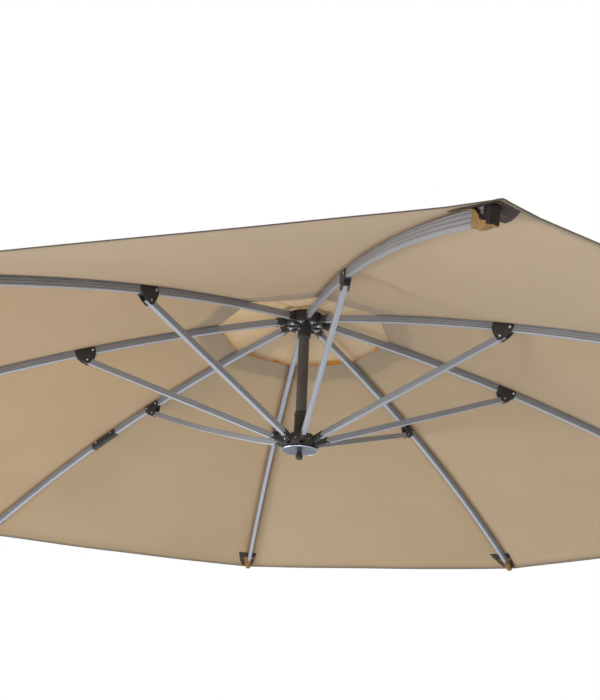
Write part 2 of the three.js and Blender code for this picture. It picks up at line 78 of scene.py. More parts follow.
def addLight(name, place, size, power, colour):
    lamp = bpy.data.lights.new(name, "AREA")
    lamp.shape = "DISK"
    lamp.size = size
    lamp.energy = power
    lamp.color = colour
    holder = bpy.data.objects.new(name, lamp)
    holder.location = place
    holder.rotation_euler = (Vector(studio["aim"]) - Vector(place)).to_track_quat("-Z", "Y").to_euler()
    holder.visible_camera = False
    scene.collection.objects.link(holder)


def makeStudio():
    camera = bpy.data.cameras.new("camera")
    camera.lens = studio["lens"]
    camera.sensor_width = 36
    camera.clip_end = 200
    holder = bpy.data.objects.new("camera", camera)
    holder.rotation_mode = "QUATERNION"
    straight = Vector(studio["towards"]).to_track_quat("-Z", "Y")
    holder.rotation_quaternion = straight @ Quaternion((0, 0, 1), math.radians(studio["roll"]))
    holder.location = studio["place"]
    scene.collection.objects.link(holder)
    scene.camera = holder
    scene.view_settings.view_transform = "Standard"

    world = bpy.data.worlds.new("studio")
    world.use_nodes = True
    background = world.node_tree.nodes["Background"]
    background.inputs["Color"].default_value = (1.0, 1.0, 1.0, 1)
    background.inputs["Strength"].default_value = studio["skyStrength"]
    scene.world = world

    bm = bmesh.new()
    bmesh.ops.create_grid(bm, x_segments=2, y_segments=2, size=studio["floorSize"] / 2)
    bmesh.ops.translate(bm, vec=(0, 0, -studio["floorDrop"]), verts=bm.verts)
    mesh = bpy.data.meshes.new("floor")
    bm.to_mesh(mesh)
    bm.free()
    floor = bpy.data.objects.new("floor", mesh)
    scene.collection.objects.link(floor)
    paint, tree, shader = newFinish("floor_paint", (0.72, 0.76, 0.83), 0.9)
    speckle = addNoise(tree, objectPlace(tree), scale=40, detail=4)
    mixColour(tree, shader, speckle, (0.70, 0.74, 0.81), (0.75, 0.79, 0.86))
    mesh.materials.append(paint)

    for name, settings in studio["lights"].items():
        addLight(name, *settings)


# ---- finishes ----
def newFinish(name, colour, roughness, metal=0.0):
    paint = bpy.data.materials.new(name)
    paint.use_nodes = True
    tree = paint.node_tree
    shader = tree.nodes["Principled BSDF"]
    shader.inputs["Base Color"].default_value = (*colour, 1)
    shader.inputs["Roughness"].default_value = roughness
    shader.inputs["Metallic"].default_value = metal
    paint.diffuse_color = (*colour, 1)
    return paint, tree, shader


def objectPlace(tree):
    return tree.nodes.new("ShaderNodeTexCoord").outputs["Object"]


def stretched(tree, place, scale):
    mapping = tree.nodes.new("ShaderNodeMapping")
    mapping.inputs["Scale"].default_value = scale
    tree.links.new(place, mapping.inputs["Vector"])
    return mapping.outputs["Vector"]


def addNoise(tree, place, scale, detail=2.0, rough=0.5):
    grain = tree.nodes.new("ShaderNodeTexNoise")
    grain.inputs["Scale"].default_value = scale
    grain.inputs["Detail"].default_value = detail
    grain.inputs["Roughness"].default_value = rough
    tree.links.new(place, grain.inputs["Vector"])
    return grain.outputs["Fac"]


def ramp(tree, value, low, high, out=(0.0, 1.0)):
    spread = tree.nodes.new("ShaderNodeMapRange")
    spread.inputs["From Min"].default_value = low
    spread.inputs["From Max"].default_value = high
    spread.inputs["To Min"].default_value = out[0]
    spread.inputs["To Max"].default_value = out[1]
    tree.links.new(value, spread.inputs["Value"])
    return spread.outputs["Result"]


def sums(tree, kind, first, second):
    step = tree.nodes.new("ShaderNodeMath")
    step.operation = kind
    for socket, value in ((step.inputs[0], first), (step.inputs[1], second)):
        if isinstance(value, (int, float)):
            socket.default_value = value
        else:
            tree.links.new(value, socket)
    return step.outputs[0]


def blendColour(tree, share, first, second):
    mixer = tree.nodes.new("ShaderNodeMix")
    mixer.data_type = "RGBA"
    tree.links.new(share, mixer.inputs["Factor"])
    for socket, value in ((mixer.inputs[6], first), (mixer.inputs[7], second)):
        if isinstance(value, tuple):
            socket.default_value = (*value, 1)
        else:
            tree.links.new(value, socket)
    return mixer.outputs[2]


def mixColour(tree, shader, share, first, second):
    colour = blendColour(tree, share, first, second)
    tree.links.new(colour, shader.inputs["Base Color"])
    return colour


def addBump(tree, shader, height, strength, distance):
    bump = tree.nodes.new("ShaderNodeBump")
    bump.inputs["Strength"].default_value = strength
    bump.inputs["Distance"].default_value = distance
    tree.links.new(height, bump.inputs["Height"])
    tree.links.new(bump.outputs["Normal"], shader.inputs["Normal"])


def edgeWear(tree, low=0.51, high=0.58):
    pointed = tree.nodes.new("ShaderNodeNewGeometry").outputs["Pointiness"]
    return ramp(tree, pointed, low, high)


def makeAlloy(name):
    # drawn aluminium: faint streaks along the length, and painted shade down in the grooves
    paint, tree, shader = newFinish(name, (0.34, 0.355, 0.385), 0.42, 0.5)
    place = tree.nodes.new("ShaderNodeUVMap").outputs["UV"]
    streak = addNoise(tree, stretched(tree, place, (6, 900, 1)), scale=1.0, detail=3)
    cloud = addNoise(tree, stretched(tree, place, (3, 12, 1)), scale=1.0, detail=2)
    tone = blendColour(tree, ramp(tree, streak, 0.3, 0.7), (0.30, 0.315, 0.345), (0.41, 0.43, 0.47))
    tone = blendColour(tree, ramp(tree, cloud, 0.35, 0.75, (0.0, 0.3)), tone, (0.27, 0.275, 0.29))
    # the groove floors are painted near-black: painted shade in the recesses
    grooveShade = tree.nodes.new("ShaderNodeAttribute")
    grooveShade.attribute_name = "grooveShade"
    mixColour(tree, shader, ramp(tree, grooveShade.outputs["Fac"], 0.0, 1.0, (0.0, 0.55)), tone,
              (0.085, 0.08, 0.075))
    tree.links.new(ramp(tree, streak, 0.2, 0.8, (0.34, 0.5)), shader.inputs["Roughness"])
    addBump(tree, shader, streak, 0.15, 0.0003)
    return paint


def makePlastic(name, colour, roughness=0.5, gloss=0.34):
    paint, tree, shader = newFinish(name, colour, roughness)
    shader.inputs["Specular IOR Level"].default_value = gloss
    place = objectPlace(tree)
    grain = addNoise(tree, place, scale=900, detail=2)
    cloud = addNoise(tree, place, scale=18, detail=3)
    dark = tuple(c * 0.82 for c in colour)
    light = tuple(min(c * 1.25, 1) for c in colour)
    body = blendColour(tree, cloud, dark, light)
    worn = tuple(min(c * 2.1 + 0.01, 1) for c in colour)
    mixColour(tree, shader, sums(tree, "MULTIPLY", edgeWear(tree), 0.6), body, worn)
    tree.links.new(ramp(tree, cloud, 0.3, 0.7, (roughness - 0.06, roughness + 0.1)),
                   shader.inputs["Roughness"])
    addBump(tree, shader, grain, 0.25, 0.0003)
    return paint


def makeCoat(name, colour, roughness=0.42, rubbedShare=0.7):
    # powder coat over metal: orange peel, bright metal showing where corners have rubbed
    paint, tree, shader = newFinish(name, colour, roughness, 0.25)
    place = objectPlace(tree)
    peel = addNoise(tree, place, scale=420, detail=3)
    cloud = addNoise(tree, place, scale=5, detail=4)
    body = blendColour(tree, cloud, tuple(c * 0.85 for c in colour), tuple(c * 1.18 for c in colour))
    patch = ramp(tree, addNoise(tree, place, scale=60, detail=4), 0.52, 0.7)
    rubbed = sums(tree, "MULTIPLY", edgeWear(tree, 0.53, 0.62), sums(tree, "MULTIPLY", patch, rubbedShare))
    mixColour(tree, shader, rubbed, body, (0.22, 0.22, 0.22))
    tree.links.new(ramp(tree, cloud, 0.3, 0.7, (roughness - 0.05, roughness + 0.12)),
                   shader.inputs["Roughness"])
    addBump(tree, shader, peel, 0.2, 0.0004)
    return paint


def makeSteel(name, colour=(0.72, 0.72, 0.73), roughness=0.24):
    paint, tree, shader = newFinish(name, colour, roughness, 1.0)
    place = objectPlace(tree)
    scuff = addNoise(tree, place, scale=300, detail=4)
    mixColour(tree, shader, scuff, tuple(c * 0.8 for c in colour), tuple(min(1, c * 1.12) for c in colour))
    tree.links.new(ramp(tree, scuff, 0.3, 0.7, (roughness - 0.06, roughness + 0.14)),
                   shader.inputs["Roughness"])
    addBump(tree, shader, scuff, 0.1, 0.0002)
    return paint


def makeConcrete(name):
    paint, tree, shader = newFinish(name, (0.42, 0.41, 0.39), 0.9)
    place = objectPlace(tree)
    cloud = addNoise(tree, place, scale=9, detail=6, rough=0.62)
    grit = addNoise(tree, place, scale=420, detail=3)
    pores = tree.nodes.new("ShaderNodeTexVoronoi")
    pores.inputs["Scale"].default_value = 85
    tree.links.new(place, pores.inputs["Vector"])
    pit = ramp(tree, pores.outputs["Distance"], 0.05, 0.16)
    body = blendColour(tree, ramp(tree, cloud, 0.3, 0.7), (0.33, 0.32, 0.30), (0.5, 0.49, 0.465))
    speck = blendColour(tree, ramp(tree, grit, 0.38, 0.62, (0.0, 0.5)), body, (0.6, 0.59, 0.56))
    mixColour(tree, shader, pit, (0.2, 0.19, 0.18), speck)
    addBump(tree, shader, sums(tree, "ADD", pit, sums(tree, "MULTIPLY", grit, 0.4)), 0.5, 0.0009)
    return paint


clothLook = {
    "threadPitch": 0.0016,
    "translucent": 0.42,
    "hem": 0.040,
    "seamHalf": 0.007,
    "stitchPitch": 0.0042,
    # painted shade: the next colour darkens a band where the vent cap overlaps, and the three after it place
    # and colour dark lines along the folded hem, the hem seen edge-on
    "overlapShadeColour": (0.34, 0.265, 0.185),
    "turning": 0.018,
    "binding": 0.0045,
    "hemLineShadeColour": (0.085, 0.065, 0.048),
}


def makeCloth(name, low, high, glow, translucent=None, seams=True, underside=False, sheen=0.18):
    # woven canopy cloth: slubs, weave and stitched seams, with painted shade in the hem's double layer and
    # in dark lines along the folded hem, and on the underside a brown painted shadow beside the ribs and a
    # painted shade band where the vent cap overlaps; UV is in metres,
    # U away from the rib and V along it, and the attribute fromRim is the distance to the hem's edge
    paint, tree, shader = newFinish(name, low, 0.88)
    shader.inputs["Sheen Weight"].default_value = sheen
    shader.inputs["Sheen Roughness"].default_value = 0.5
    shader.inputs["Specular IOR Level"].default_value = 0.2
    place = tree.nodes.new("ShaderNodeUVMap").outputs["UV"]
    parts = tree.nodes.new("ShaderNodeSeparateXYZ")
    tree.links.new(place, parts.inputs["Vector"])
    across, along = parts.outputs["X"], parts.outputs["Y"]
    perThread = 2 * math.pi / clothLook["threadPitch"]
    warp = sums(tree, "SINE", sums(tree, "MULTIPLY", across, perThread), 0.0)
    weft = sums(tree, "SINE", sums(tree, "MULTIPLY", along, perThread), 0.0)
    weave = sums(tree, "MULTIPLY", warp, weft)
    slubWarp = addNoise(tree, stretched(tree, place, (420, 9, 1)), scale=1.0, detail=2)
    slubWeft = addNoise(tree, stretched(tree, place, (9, 420, 1)), scale=1.0, detail=2)
    slubs = sums(tree, "ADD", slubWarp, slubWeft)
    cloud = addNoise(tree, stretched(tree, place, (2.2, 2.2, 1)), scale=1.0, detail=4)
    share = sums(tree, "ADD", ramp(tree, slubs, 0.75, 1.25, (0.0, 0.45)),
                 ramp(tree, cloud, 0.3, 0.7, (0.0, 0.55)))
    colour = blendColour(tree, share, low, high)
    height = sums(tree, "ADD", sums(tree, "MULTIPLY", weave, 0.35), slubs)
    if seams:
        away = sums(tree, "ABSOLUTE", across, 0.0)
        rimAway = tree.nodes.new("ShaderNodeAttribute")
        rimAway.attribute_name = "fromRim"
        fromRim = rimAway.outputs["Fac"]
        dark = tuple(c * 0.55 for c in low)
        if underside:
            # painted shade: a darker band where the vent cap's second layer lies over the canopy
            overlapShade = tree.nodes.new("ShaderNodeAttribute")
            overlapShade.attribute_name = "fromOverlapShade"
            colour = blendColour(tree, ramp(tree, overlapShade.outputs["Fac"], -0.0012, 0.0012, (0.36, 0.0)), colour,
                                 clothLook["overlapShadeColour"])
        # beside each rib: on the underside a strong brown painted shadow, the rib's contact shadow on the
        # cloth; on the top only a little darker
        ribShade = ramp(tree, away, 0.006, 0.030, (0.8 if underside else 0.12, 0.0))
        colour = blendColour(tree, ribShade, colour, (0.26, 0.15, 0.055) if underside else dark)
        for line, offset in ((away, clothLook["seamHalf"] - 0.0015), (fromRim, clothLook["hem"] - 0.004)):
            gap = sums(tree, "ABSOLUTE", sums(tree, "SUBTRACT", line, offset), 0.0)
            thread = ramp(tree, gap, 0.0006, 0.0013, (1.0, 0.0))
            run = along if line is away else across
            dash = sums(tree, "SINE", sums(tree, "MULTIPLY", run, 2 * math.pi / clothLook["stitchPitch"]),
                        0.0)
            stitch = sums(tree, "MULTIPLY", thread, ramp(tree, dash, -0.5, 0.1))
            colour = blendColour(tree, sums(tree, "MULTIPLY", stitch, 0.7), colour,
                                 tuple(min(c * 1.35, 1) for c in high))
            height = sums(tree, "ADD", height, sums(tree, "MULTIPLY", stitch, 1.5))
        # the whole hem a little darker: painted shade of its double layer
        hemShade = ramp(tree, fromRim, clothLook["hem"] - 0.0008, clothLook["hem"] + 0.0008, (0.16, 0.0))
        colour = blendColour(tree, hemShade, colour, dark)
        # dark lines of painted shade at the hem's turned fold and near the rim, the folded hem seen edge-on
        for edge, strength in (("turning", 0.35), ("binding", 0.85)):
            bound = ramp(tree, fromRim, clothLook[edge] - 0.0008, clothLook[edge] + 0.0008, (strength, 0.0))
            colour = blendColour(tree, bound, colour, clothLook["hemLineShadeColour"])
    tree.links.new(colour, shader.inputs["Base Color"])
    addBump(tree, shader, height, 0.35, 0.0004)
    tint = tree.nodes.new("ShaderNodeMix")
    tint.data_type = "RGBA"
    tint.blend_type = "MULTIPLY"
    tint.inputs["Factor"].default_value = 1.0
    tint.inputs[7].default_value = (*glow, 1)
    tree.links.new(colour, tint.inputs[6])
    through = tree.nodes.new("ShaderNodeBsdfTranslucent")
    tree.links.new(tint.outputs[2], through.inputs["Color"])
    both = tree.nodes.new("ShaderNodeMixShader")
    both.inputs[0].default_value = clothLook["translucent"] if translucent is None else translucent
    tree.links.new(shader.outputs[0], both.inputs[1])
    tree.links.new(through.outputs[0], both.inputs[2])
    tree.links.new(both.outputs[0], tree.nodes["Material Output"].inputs["Surface"])
    return paint


makeStudio()
finishes = {
    "alloy": makeAlloy("drawn_alloy"),
    "plastic": makePlastic("charcoal_plastic", (0.021, 0.019, 0.018)),
    "grip": makePlastic("soft_grip", (0.022, 0.021, 0.021), 0.7),
    "rubber": makePlastic("black_rubber", (0.018, 0.018, 0.018), 0.75),
    "tipRubber": makePlastic("rib_tip_rubber", (0.014, 0.011, 0.009), 0.9, 0.08),
    "coat": makeCoat("anthracite_coat", (0.052, 0.047, 0.043)),
    "tubeCoat": makeCoat("tube_coat", (0.088, 0.080, 0.073), 0.36, 0.0),
    "steel": makeSteel("bright_steel"),
    "disc": makeSteel("disc_alloy", (0.135, 0.148, 0.175), 0.36),
    # a lighter bluish copy of the disc's steel for its rolled rim: painted highlight
    "rim": makeSteel("rim_highlight_steel", (0.42, 0.45, 0.52), 0.3),
    "concrete": makeConcrete("cast_concrete"),
    # the same cloth on both faces; the underside's copy adds painted shade: a band where the vent cap
    # overlaps and a brown shadow beside each rib
    "clothTop": makeCloth("cloth_top", (0.475, 0.372, 0.238), (0.535, 0.425, 0.275), (1.0, 0.93, 0.80)),
    "clothUnder": makeCloth("cloth_under", (0.475, 0.372, 0.238), (0.535, 0.425, 0.275), (1.0, 0.93, 0.80),
                            underside=True),
    # the vent cap is the canopy's cloth painted lighter and yellower: painted light from the sun above it
    "capCloth": makeCloth("cap_cloth", (0.59, 0.495, 0.365), (0.67, 0.57, 0.43), (1.0, 0.96, 0.88), 0.6,
                          seams=False),
    # saturated orange cloth for the frill at the opening: painted light
    "binding": makeCloth("lit_frill_cloth", (0.62, 0.24, 0.03), (0.72, 0.31, 0.05), (1.0, 0.7, 0.3), 0.3,
                         seams=False),
    # near-black cloth for the sheet at each corner: painted shade of the pocket's dark opening
    "lining": makeCloth("pocket_shade_cloth", (0.034, 0.025, 0.019), (0.052, 0.040, 0.031), (1, 1, 1), 0.02,
                        seams=False,
                        sheen=0.03),
    # the sleeve's cloth is the canopy cloth painted darker and more orange: painted shade
    "cuff": makeCloth("cuff_cloth_shaded", (0.29, 0.15, 0.035), (0.52, 0.32, 0.12), (1.0, 0.72, 0.4), 0.45,
                      seams=False),
}
print("studio and finishes made")


# ---- modelling helpers ----
def addBox(bm, low, high, place=Matrix()):
    size = Vector(high) - Vector(low)
    middle = (Vector(high) + Vector(low)) / 2
    spot = place @ Matrix.Translation(middle) @ Matrix.Diagonal((*size, 1))
    bmesh.ops.create_cube(bm, size=1.0, matrix=spot)


def addRod(bm, radius, start, end, place=Matrix(), segments=32):
    start, end = Vector(start), Vector(end)
    turn = (end - start).to_track_quat("Z", "Y").to_matrix().to_4x4()
    spot = place @ Matrix.Translation((start + end) / 2) @ turn
    bmesh.ops.create_cone(bm, cap_ends=True, segments=segments, radius1=radius,
                          radius2=radius, depth=(end - start).length, matrix=spot)


def addLathe(bm, profile, place=Matrix(), steps=64):
    # profile is (radius, height) pairs; it starts and ends on the axis, or closes on itself
    rows = [bm.verts.new((radius, 0, height)) for radius, height in profile]
    line = [bm.edges.new(pair) for pair in zip(rows, rows[1:])]
    if profile[0][0] > 1e-6:
        line.append(bm.edges.new((rows[-1], rows[0])))
    made = bmesh.ops.spin(bm, geom=rows + line, cent=(0, 0, 0), axis=(0, 0, 1), dvec=(0, 0, 0),
                          angle=math.tau, steps=steps, use_merge=True)
    verts = {v for e in made["geom_last"] if isinstance(e, bmesh.types.BMEdge) for v in e.verts}
    linked, queue = set(verts) | set(rows), list(set(verts) | set(rows))
    while queue:
        for edge in queue.pop().link_edges:
            for vert in edge.verts:
                if vert not in linked:
                    linked.add(vert)
                    queue.append(vert)
    bmesh.ops.transform(bm, matrix=place, verts=list(linked))


def addPlate(bm, outline, thickness, place=Matrix()):
    # outline is (x, y) pairs in the plate's plane; the plate rises along +Z
    face = bm.faces.new([bm.verts.new((x, y, 0)) for x, y in outline])
    made = bmesh.ops.extrude_face_region(bm, geom=[face])
    top = [v for v in made["geom"] if isinstance(v, bmesh.types.BMVert)]
    bmesh.ops.translate(bm, vec=(0, 0, thickness), verts=top)
    verts = list(face.verts) + top
    bmesh.ops.transform(bm, matrix=place, verts=verts)
    return verts


def roundOff(bm, width, angle=30, segments=2, verts=None):
    chosen = None if verts is None else set(verts)
    sharp = [e for e in bm.edges if len(e.link_faces) == 2 and e.calc_face_angle(0) > math.radians(angle)
             and (chosen is None or (e.verts[0] in chosen and e.verts[1] in chosen))]
    bmesh.ops.bevel(bm, geom=sharp, offset=width, offset_type="OFFSET", affect="EDGES", segments=segments,
                    profile=0.5, material=-1, clamp_overlap=True)


def addBolt(bm, spot, out, radius, height):
    # a low domed head with a round drive recess
    out = Vector(out).normalized()
    turn = out.to_track_quat("Z", "Y").to_matrix().to_4x4()
    profile = [(0, height * 0.45), (radius * 0.42, height * 0.45), (radius * 0.46, height),
               (radius * 0.72, height * 0.94), (radius * 0.94, height * 0.62), (radius, height * 0.2),
               (radius, -height * 0.3), (0, -height * 0.3)]
    addLathe(bm, profile, Matrix.Translation(spot) @ turn, steps=20)


# finish and slot of what is moulded and of what is polished
moulded = ("plastic", "charcoal_plastic")
polished = ("steel", "bright_steel")


def setPiece(name, bm, body, finish, slotName, replaced=(), smoothAngle=32, merge=True, outward=True,
             place=None):
    if place is not None:
        bmesh.ops.transform(bm, matrix=place, verts=bm.verts)
    if merge:
        bmesh.ops.remove_doubles(bm, verts=bm.verts, dist=1e-6)
    if outward:
        bmesh.ops.recalc_face_normals(bm, faces=bm.faces)
    for face in bm.faces:
        face.smooth = True
    for edge in bm.edges:
        edge.smooth = len(edge.link_faces) == 2 and edge.calc_face_angle(0) < math.radians(smoothAngle)
    mesh = bpy.data.meshes.new(name)
    bm.to_mesh(mesh)
    bm.free()
    piece = bpy.data.objects.new(name, mesh)
    scene.collection.objects.link(piece)
    for one in finish if isinstance(finish, (list, tuple)) else [finish]:
        mesh.materials.append(finishes[one])
    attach(piece, body)
    if replaced:
        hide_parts(*replaced)
    return piece


def refined(node, body, finish, slotName, width=0.0012, flat=3, angle=30, segments=2):
    # a CAD piece with its facets merged and its edges rounded
    bm = bmesh.new()
    bm.from_mesh(frame["nodes"][node].data)
    bmesh.ops.remove_doubles(bm, verts=bm.verts, dist=1e-5)
    bmesh.ops.dissolve_limit(bm, angle_limit=math.radians(flat), use_dissolve_boundaries=False,
                             verts=bm.verts, edges=bm.edges)
    roundOff(bm, width, angle, segments)
    return setPiece(node + "_finished", bm, body, finish, slotName, [node], outward=False, merge=False)


def giveProfileMap(bm, alongOf, acrossOf):
    layer = bm.loops.layers.uv.new("profile")
    for face in bm.faces:
        for loop in face.loops:
            loop[layer].uv = (alongOf(loop.vert.co), acrossOf(loop.vert.co))


# ---- where things are, from the frame ----
hub = {"below": 0.018, "above": 0.022, "hingeRadius": 0.054}
low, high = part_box("crown_hub")
crownSpot = Vector(((low[0] + high[0]) / 2, (low[1] + high[1]) / 2, low[2] + hub["below"]))
crownPlace = Matrix.Translation(crownSpot)
runnerHub = {"below": 0.022, "gap": 0.0003, "discRadius": 0.062, "discSteps": 96,
             "ringTops": (0.0975, 0.0935), "sleeveRadius": 0.0218}
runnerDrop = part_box("runner")[0][2] + runnerHub["below"] - crownSpot.z


def spokePlace(letter):
    lowCorner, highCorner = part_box(f"rib_bracket_{letter}")
    middle = (Vector(lowCorner) + Vector(highCorner)) / 2 - crownSpot
    return crownPlace @ Matrix.Rotation(round(math.atan2(middle.y,
                                                         middle.x) / (math.pi / 4)) * math.pi / 4, 4, "Z")


spokes = {letter: spokePlace(letter) for letter in letters}
turns = {letter: math.atan2(place[1][0], place[0][0]) for letter, place in spokes.items()}

rib = {"slope": math.radians(12.6), "bend": 6.746, "length": 1.813, "rootBack": 0.012, "width": 0.015,
       "height": 0.025, "corner": 0.0016, "grooves": 3, "grooveWidth": 0.0024, "grooveDepth": 0.0010,
       "attachAlong": 0.718, "attachDrop": 0.031, "spliceCentre": 1.003, "spliceLength": 0.136,
       "tailStart": 0.022}
strut = {"width": 0.015, "height": 0.020, "overhang": 0.010, "bow": 0.014, "bootLength": 0.040,
         "tailStart": 0.025, "grooves": 3}


def ribPoint(along, offset=0.0):
    slope = rib["slope"] + along / rib["bend"]
    x = hub["hingeRadius"] + rib["bend"] * (math.sin(slope) - math.sin(rib["slope"]))
    x += offset * math.sin(slope)
    z = rib["bend"] * (math.cos(slope) - math.cos(rib["slope"])) + offset * math.cos(slope)
    return x, z, slope


strutX, strutZ, strutSlope = ribPoint(rib["attachAlong"], -rib["attachDrop"])
linkLength = math.hypot(strutX - hub["hingeRadius"], strutZ)
linkSlope = math.atan2(-strutZ, strutX - hub["hingeRadius"])


# ---- ribs and struts ----
def groovedSection(width, height, corner, grooves, grooveWidth, grooveDepth):
    # (across, up) pairs round the outside of the profile, anticlockwise from the lower right corner
    half, tall = width / 2, height / 2
    side = [(half, -tall + corner)]
    room = height - 2 * corner
    for i in range(grooves):
        middle = -tall + corner + room * (i + 0.5) / grooves
        side += [(half, middle - grooveWidth / 2), (half - grooveDepth, middle - grooveWidth / 4),
                 (half - grooveDepth, middle + grooveWidth / 4), (half, middle + grooveWidth / 2)]
    side.append((half, tall - corner))
    steps = 3
    arcs = [(half - corner + corner * math.cos(t), tall - corner + corner * math.sin(t))
            for t in (math.pi / 2 * i / steps for i in range(1, steps + 1))]
    upper = side + arcs
    full = upper + [(-x, y) for x, y in reversed(upper)]
    lowArcs = [(-half + corner - corner * math.cos(t), -tall + corner - corner * math.sin(t))
               for t in (math.pi / 2 * i / steps for i in range(1, steps + 1))]
    full += lowArcs + [(-x, y) for x, y in reversed(lowArcs)]
    cleaned = []
    for point in full:
        if not cleaned or (Vector(point) - Vector(cleaned[-1])).length > 1e-7:
            cleaned.append(point)
    if (Vector(cleaned[0]) - Vector(cleaned[-1])).length < 1e-7:
        cleaned.pop()
    return cleaned


def sectionFace(bm, section, pointOf):
    # the profile's end face, its groove floors marked for the painted shade there
    grooveShade = bm.verts.layers.float.new("grooveShade")
    widest, tallest = max(u for u, v in section), max(v for u, v in section)
    ring = []
    for u, v in section:
        vert = bm.verts.new(pointOf(u, v))
        vert[grooveShade] = 1.0 if abs(u) < widest - 0.0003 and abs(v) < tallest - 0.0020 else 0.0
        ring.append(vert)
    return bm.faces.new(ring)


def arcBar(bm, section, start, end, steps):
    # the section swept along the rib's arc, in the spoke's own frame
    slope = rib["slope"] + start / rib["bend"]
    x, z, _ = ribPoint(start)
    up = Vector((math.sin(slope), 0, math.cos(slope)))
    face = sectionFace(bm, section, lambda u, v: Vector((x, 0, z)) + up * v + Vector((0, u, 0)))
    centre = (hub["hingeRadius"] - rib["bend"] * math.sin(rib["slope"]), 0,
              -rib["bend"] * math.cos(rib["slope"]))
    bmesh.ops.spin(bm, geom=[face], cent=centre, axis=(0, 1, 0), dvec=(0, 0, 0),
                   angle=(end - start) / rib["bend"], steps=steps, use_merge=False)


def alongRib(point):
    return point.x


def addFishtail(bm, place, inner, half, start, end, flare):
    # a cheek on each side of a profile, its outer end flared and notched
    cheek = 0.0018
    outline = [(start, -half * 0.80), (end, -half * 0.96), (end + flare, -half * 1.30),
               (end + flare * 0.15, 0),
               (end + flare, half * 1.16), (end, half * 0.96), (start, half * 0.80)]
    for side in (inner + cheek, -inner):
        turned = Matrix.Translation((0, side, 0)) @ Matrix.Rotation(math.pi / 2, 4, "X")
        made = addPlate(bm, outline, cheek, place @ turned)
        roundOff(bm, 0.0005, 50, 1, made)


def makeRibs():
    section = groovedSection(rib["width"], rib["height"], rib["corner"], rib["grooves"], rib["grooveWidth"],
                             rib["grooveDepth"])
    rootSection = groovedSection(rib["width"] + 0.0012, rib["height"] + 0.0012, 0.002, 0, 0, 0)
    rootEnd, seam = 0.040, 0.0003
    for letter in letters:
        place = spokes[letter]
        body = f"rib_{letter}"
        spans = [(rootEnd - 0.004, rib["length"] - 0.004)]
        names = [f"rib_{letter}"]
        if letter == jointedRib:
            spans = [(rootEnd - 0.004, rib["spliceCentre"] - seam / 2),
                     (rib["spliceCentre"] + seam / 2, rib["length"] - 0.004)]
            names.append(f"rib_{letter}_outer")
        for (start, end), node in zip(spans, names):
            bm = bmesh.new()
            arcBar(bm, section, start, end, max(3, round((end - start) / 0.06)))
            giveProfileMap(bm, alongRib, lambda p: p.y + p.z)
            setPiece(f"{node}_profile", bm, body, "alloy", "alloy_profile", [node], merge=False,
                     smoothAngle=25, place=place)

        bm = bmesh.new()
        arcBar(bm, rootSection, -rib["rootBack"] + 0.001, rootEnd, 3)
        roundOff(bm, 0.0008, 50)
        addRod(bm, 0.0032, (hub["hingeRadius"], -0.0078, 0), (hub["hingeRadius"], 0.0078, 0), segments=20)
        rootPlace = Matrix.Translation((hub["hingeRadius"], 0, 0)) @ Matrix.Rotation(rib["slope"], 4, "Y")
        addFishtail(bm, rootPlace, rib["width"] / 2 + 0.0004, rib["height"] / 2, rib["tailStart"],
                    rootEnd, 0.013)
        setPiece(f"rib_root_{letter}", bm, body, *moulded, place=place)

        bm = bmesh.new()
        arcBar(bm, rootSection, rib["length"] - 0.022, rib["length"] + 0.004, 2)
        roundOff(bm, 0.0025, 50, 3)
        setPiece(f"rib_tip_{letter}", bm, body, "tipRubber", "charcoal_plastic", place=place)


def strutPlace(letter):
    x, z = hub["hingeRadius"], runnerDrop
    return spokes[letter] @ Matrix.Translation((x, 0, z)) @ Matrix.Rotation(-linkSlope, 4, "Y")


def makeStruts():
    section = groovedSection(strut["width"], strut["height"], 0.0016, strut["grooves"], 0.0019, 0.0009)
    for letter in letters:
        bow = strut["bow"] if letter == jointedRib else 0.0
        place = strutPlace(letter)

        def sag(along):
            share = min(max(along / linkLength, 0), 1)
            return -4 * bow * share * (1 - share)

        start, end = strut["bootLength"] - 0.012, linkLength + strut["overhang"]
        bm = bmesh.new()
        face = sectionFace(bm, section, lambda u, v: (start, u, v))
        steps = 16 if bow else 4
        bar = [face]
        for i in range(steps):
            made = bmesh.ops.extrude_face_region(bm, geom=bar)
            moved = [v for v in made["geom"] if isinstance(v, bmesh.types.BMVert)]
            bar = [f for f in made["geom"] if isinstance(f, bmesh.types.BMFace)]
            bmesh.ops.translate(bm, vec=((end - start) / steps, 0, 0), verts=moved)
        giveProfileMap(bm, lambda p: p.x, lambda p: p.y + p.z)
        for vert in bm.verts:
            vert.co.z += sag(vert.co.x)
        setPiece(f"strut_{letter}_profile", bm, f"strut_{letter}", "alloy", "alloy_profile",
                 [f"strut_{letter}"],
                 merge=False, smoothAngle=25, place=place)

        bm = bmesh.new()
        half, bootEnd = strut["height"] / 2, strut["bootLength"] - 0.006
        outline = [(-0.010, -0.0066), (-0.0066, -0.010), (bootEnd, -half - 0.0005), (bootEnd, half + 0.0005),
                   (-0.0066, 0.010), (-0.010, 0.0066)]
        addPlate(bm, outline, strut["width"] + 0.0008,
                 Matrix.Translation((0, (strut["width"] + 0.0008) / 2, 0)) @ Matrix.Rotation(math.pi / 2,
                                                                                             4, "X"))
        roundOff(bm, 0.0007, 40)
        addFishtail(bm, Matrix(), strut["width"] / 2 + 0.0002, half, strut["tailStart"], bootEnd, 0.016)
        for vert in bm.verts:
            vert.co.z += sag(vert.co.x)
        setPiece(f"strut_boot_{letter}", bm, f"strut_{letter}", *moulded, place=place)


# ---- brackets ----
bracket = {"half": 0.034, "plate": 0.003, "nose": 0.014, "lip": 0.0015, "web": 0.0025, "seat": 0.001,
           "bolt": 0.0046, "boltIn": 0.009, "stand": 0.0003, "boss": 0.0066, "endBoss": 0.0072}


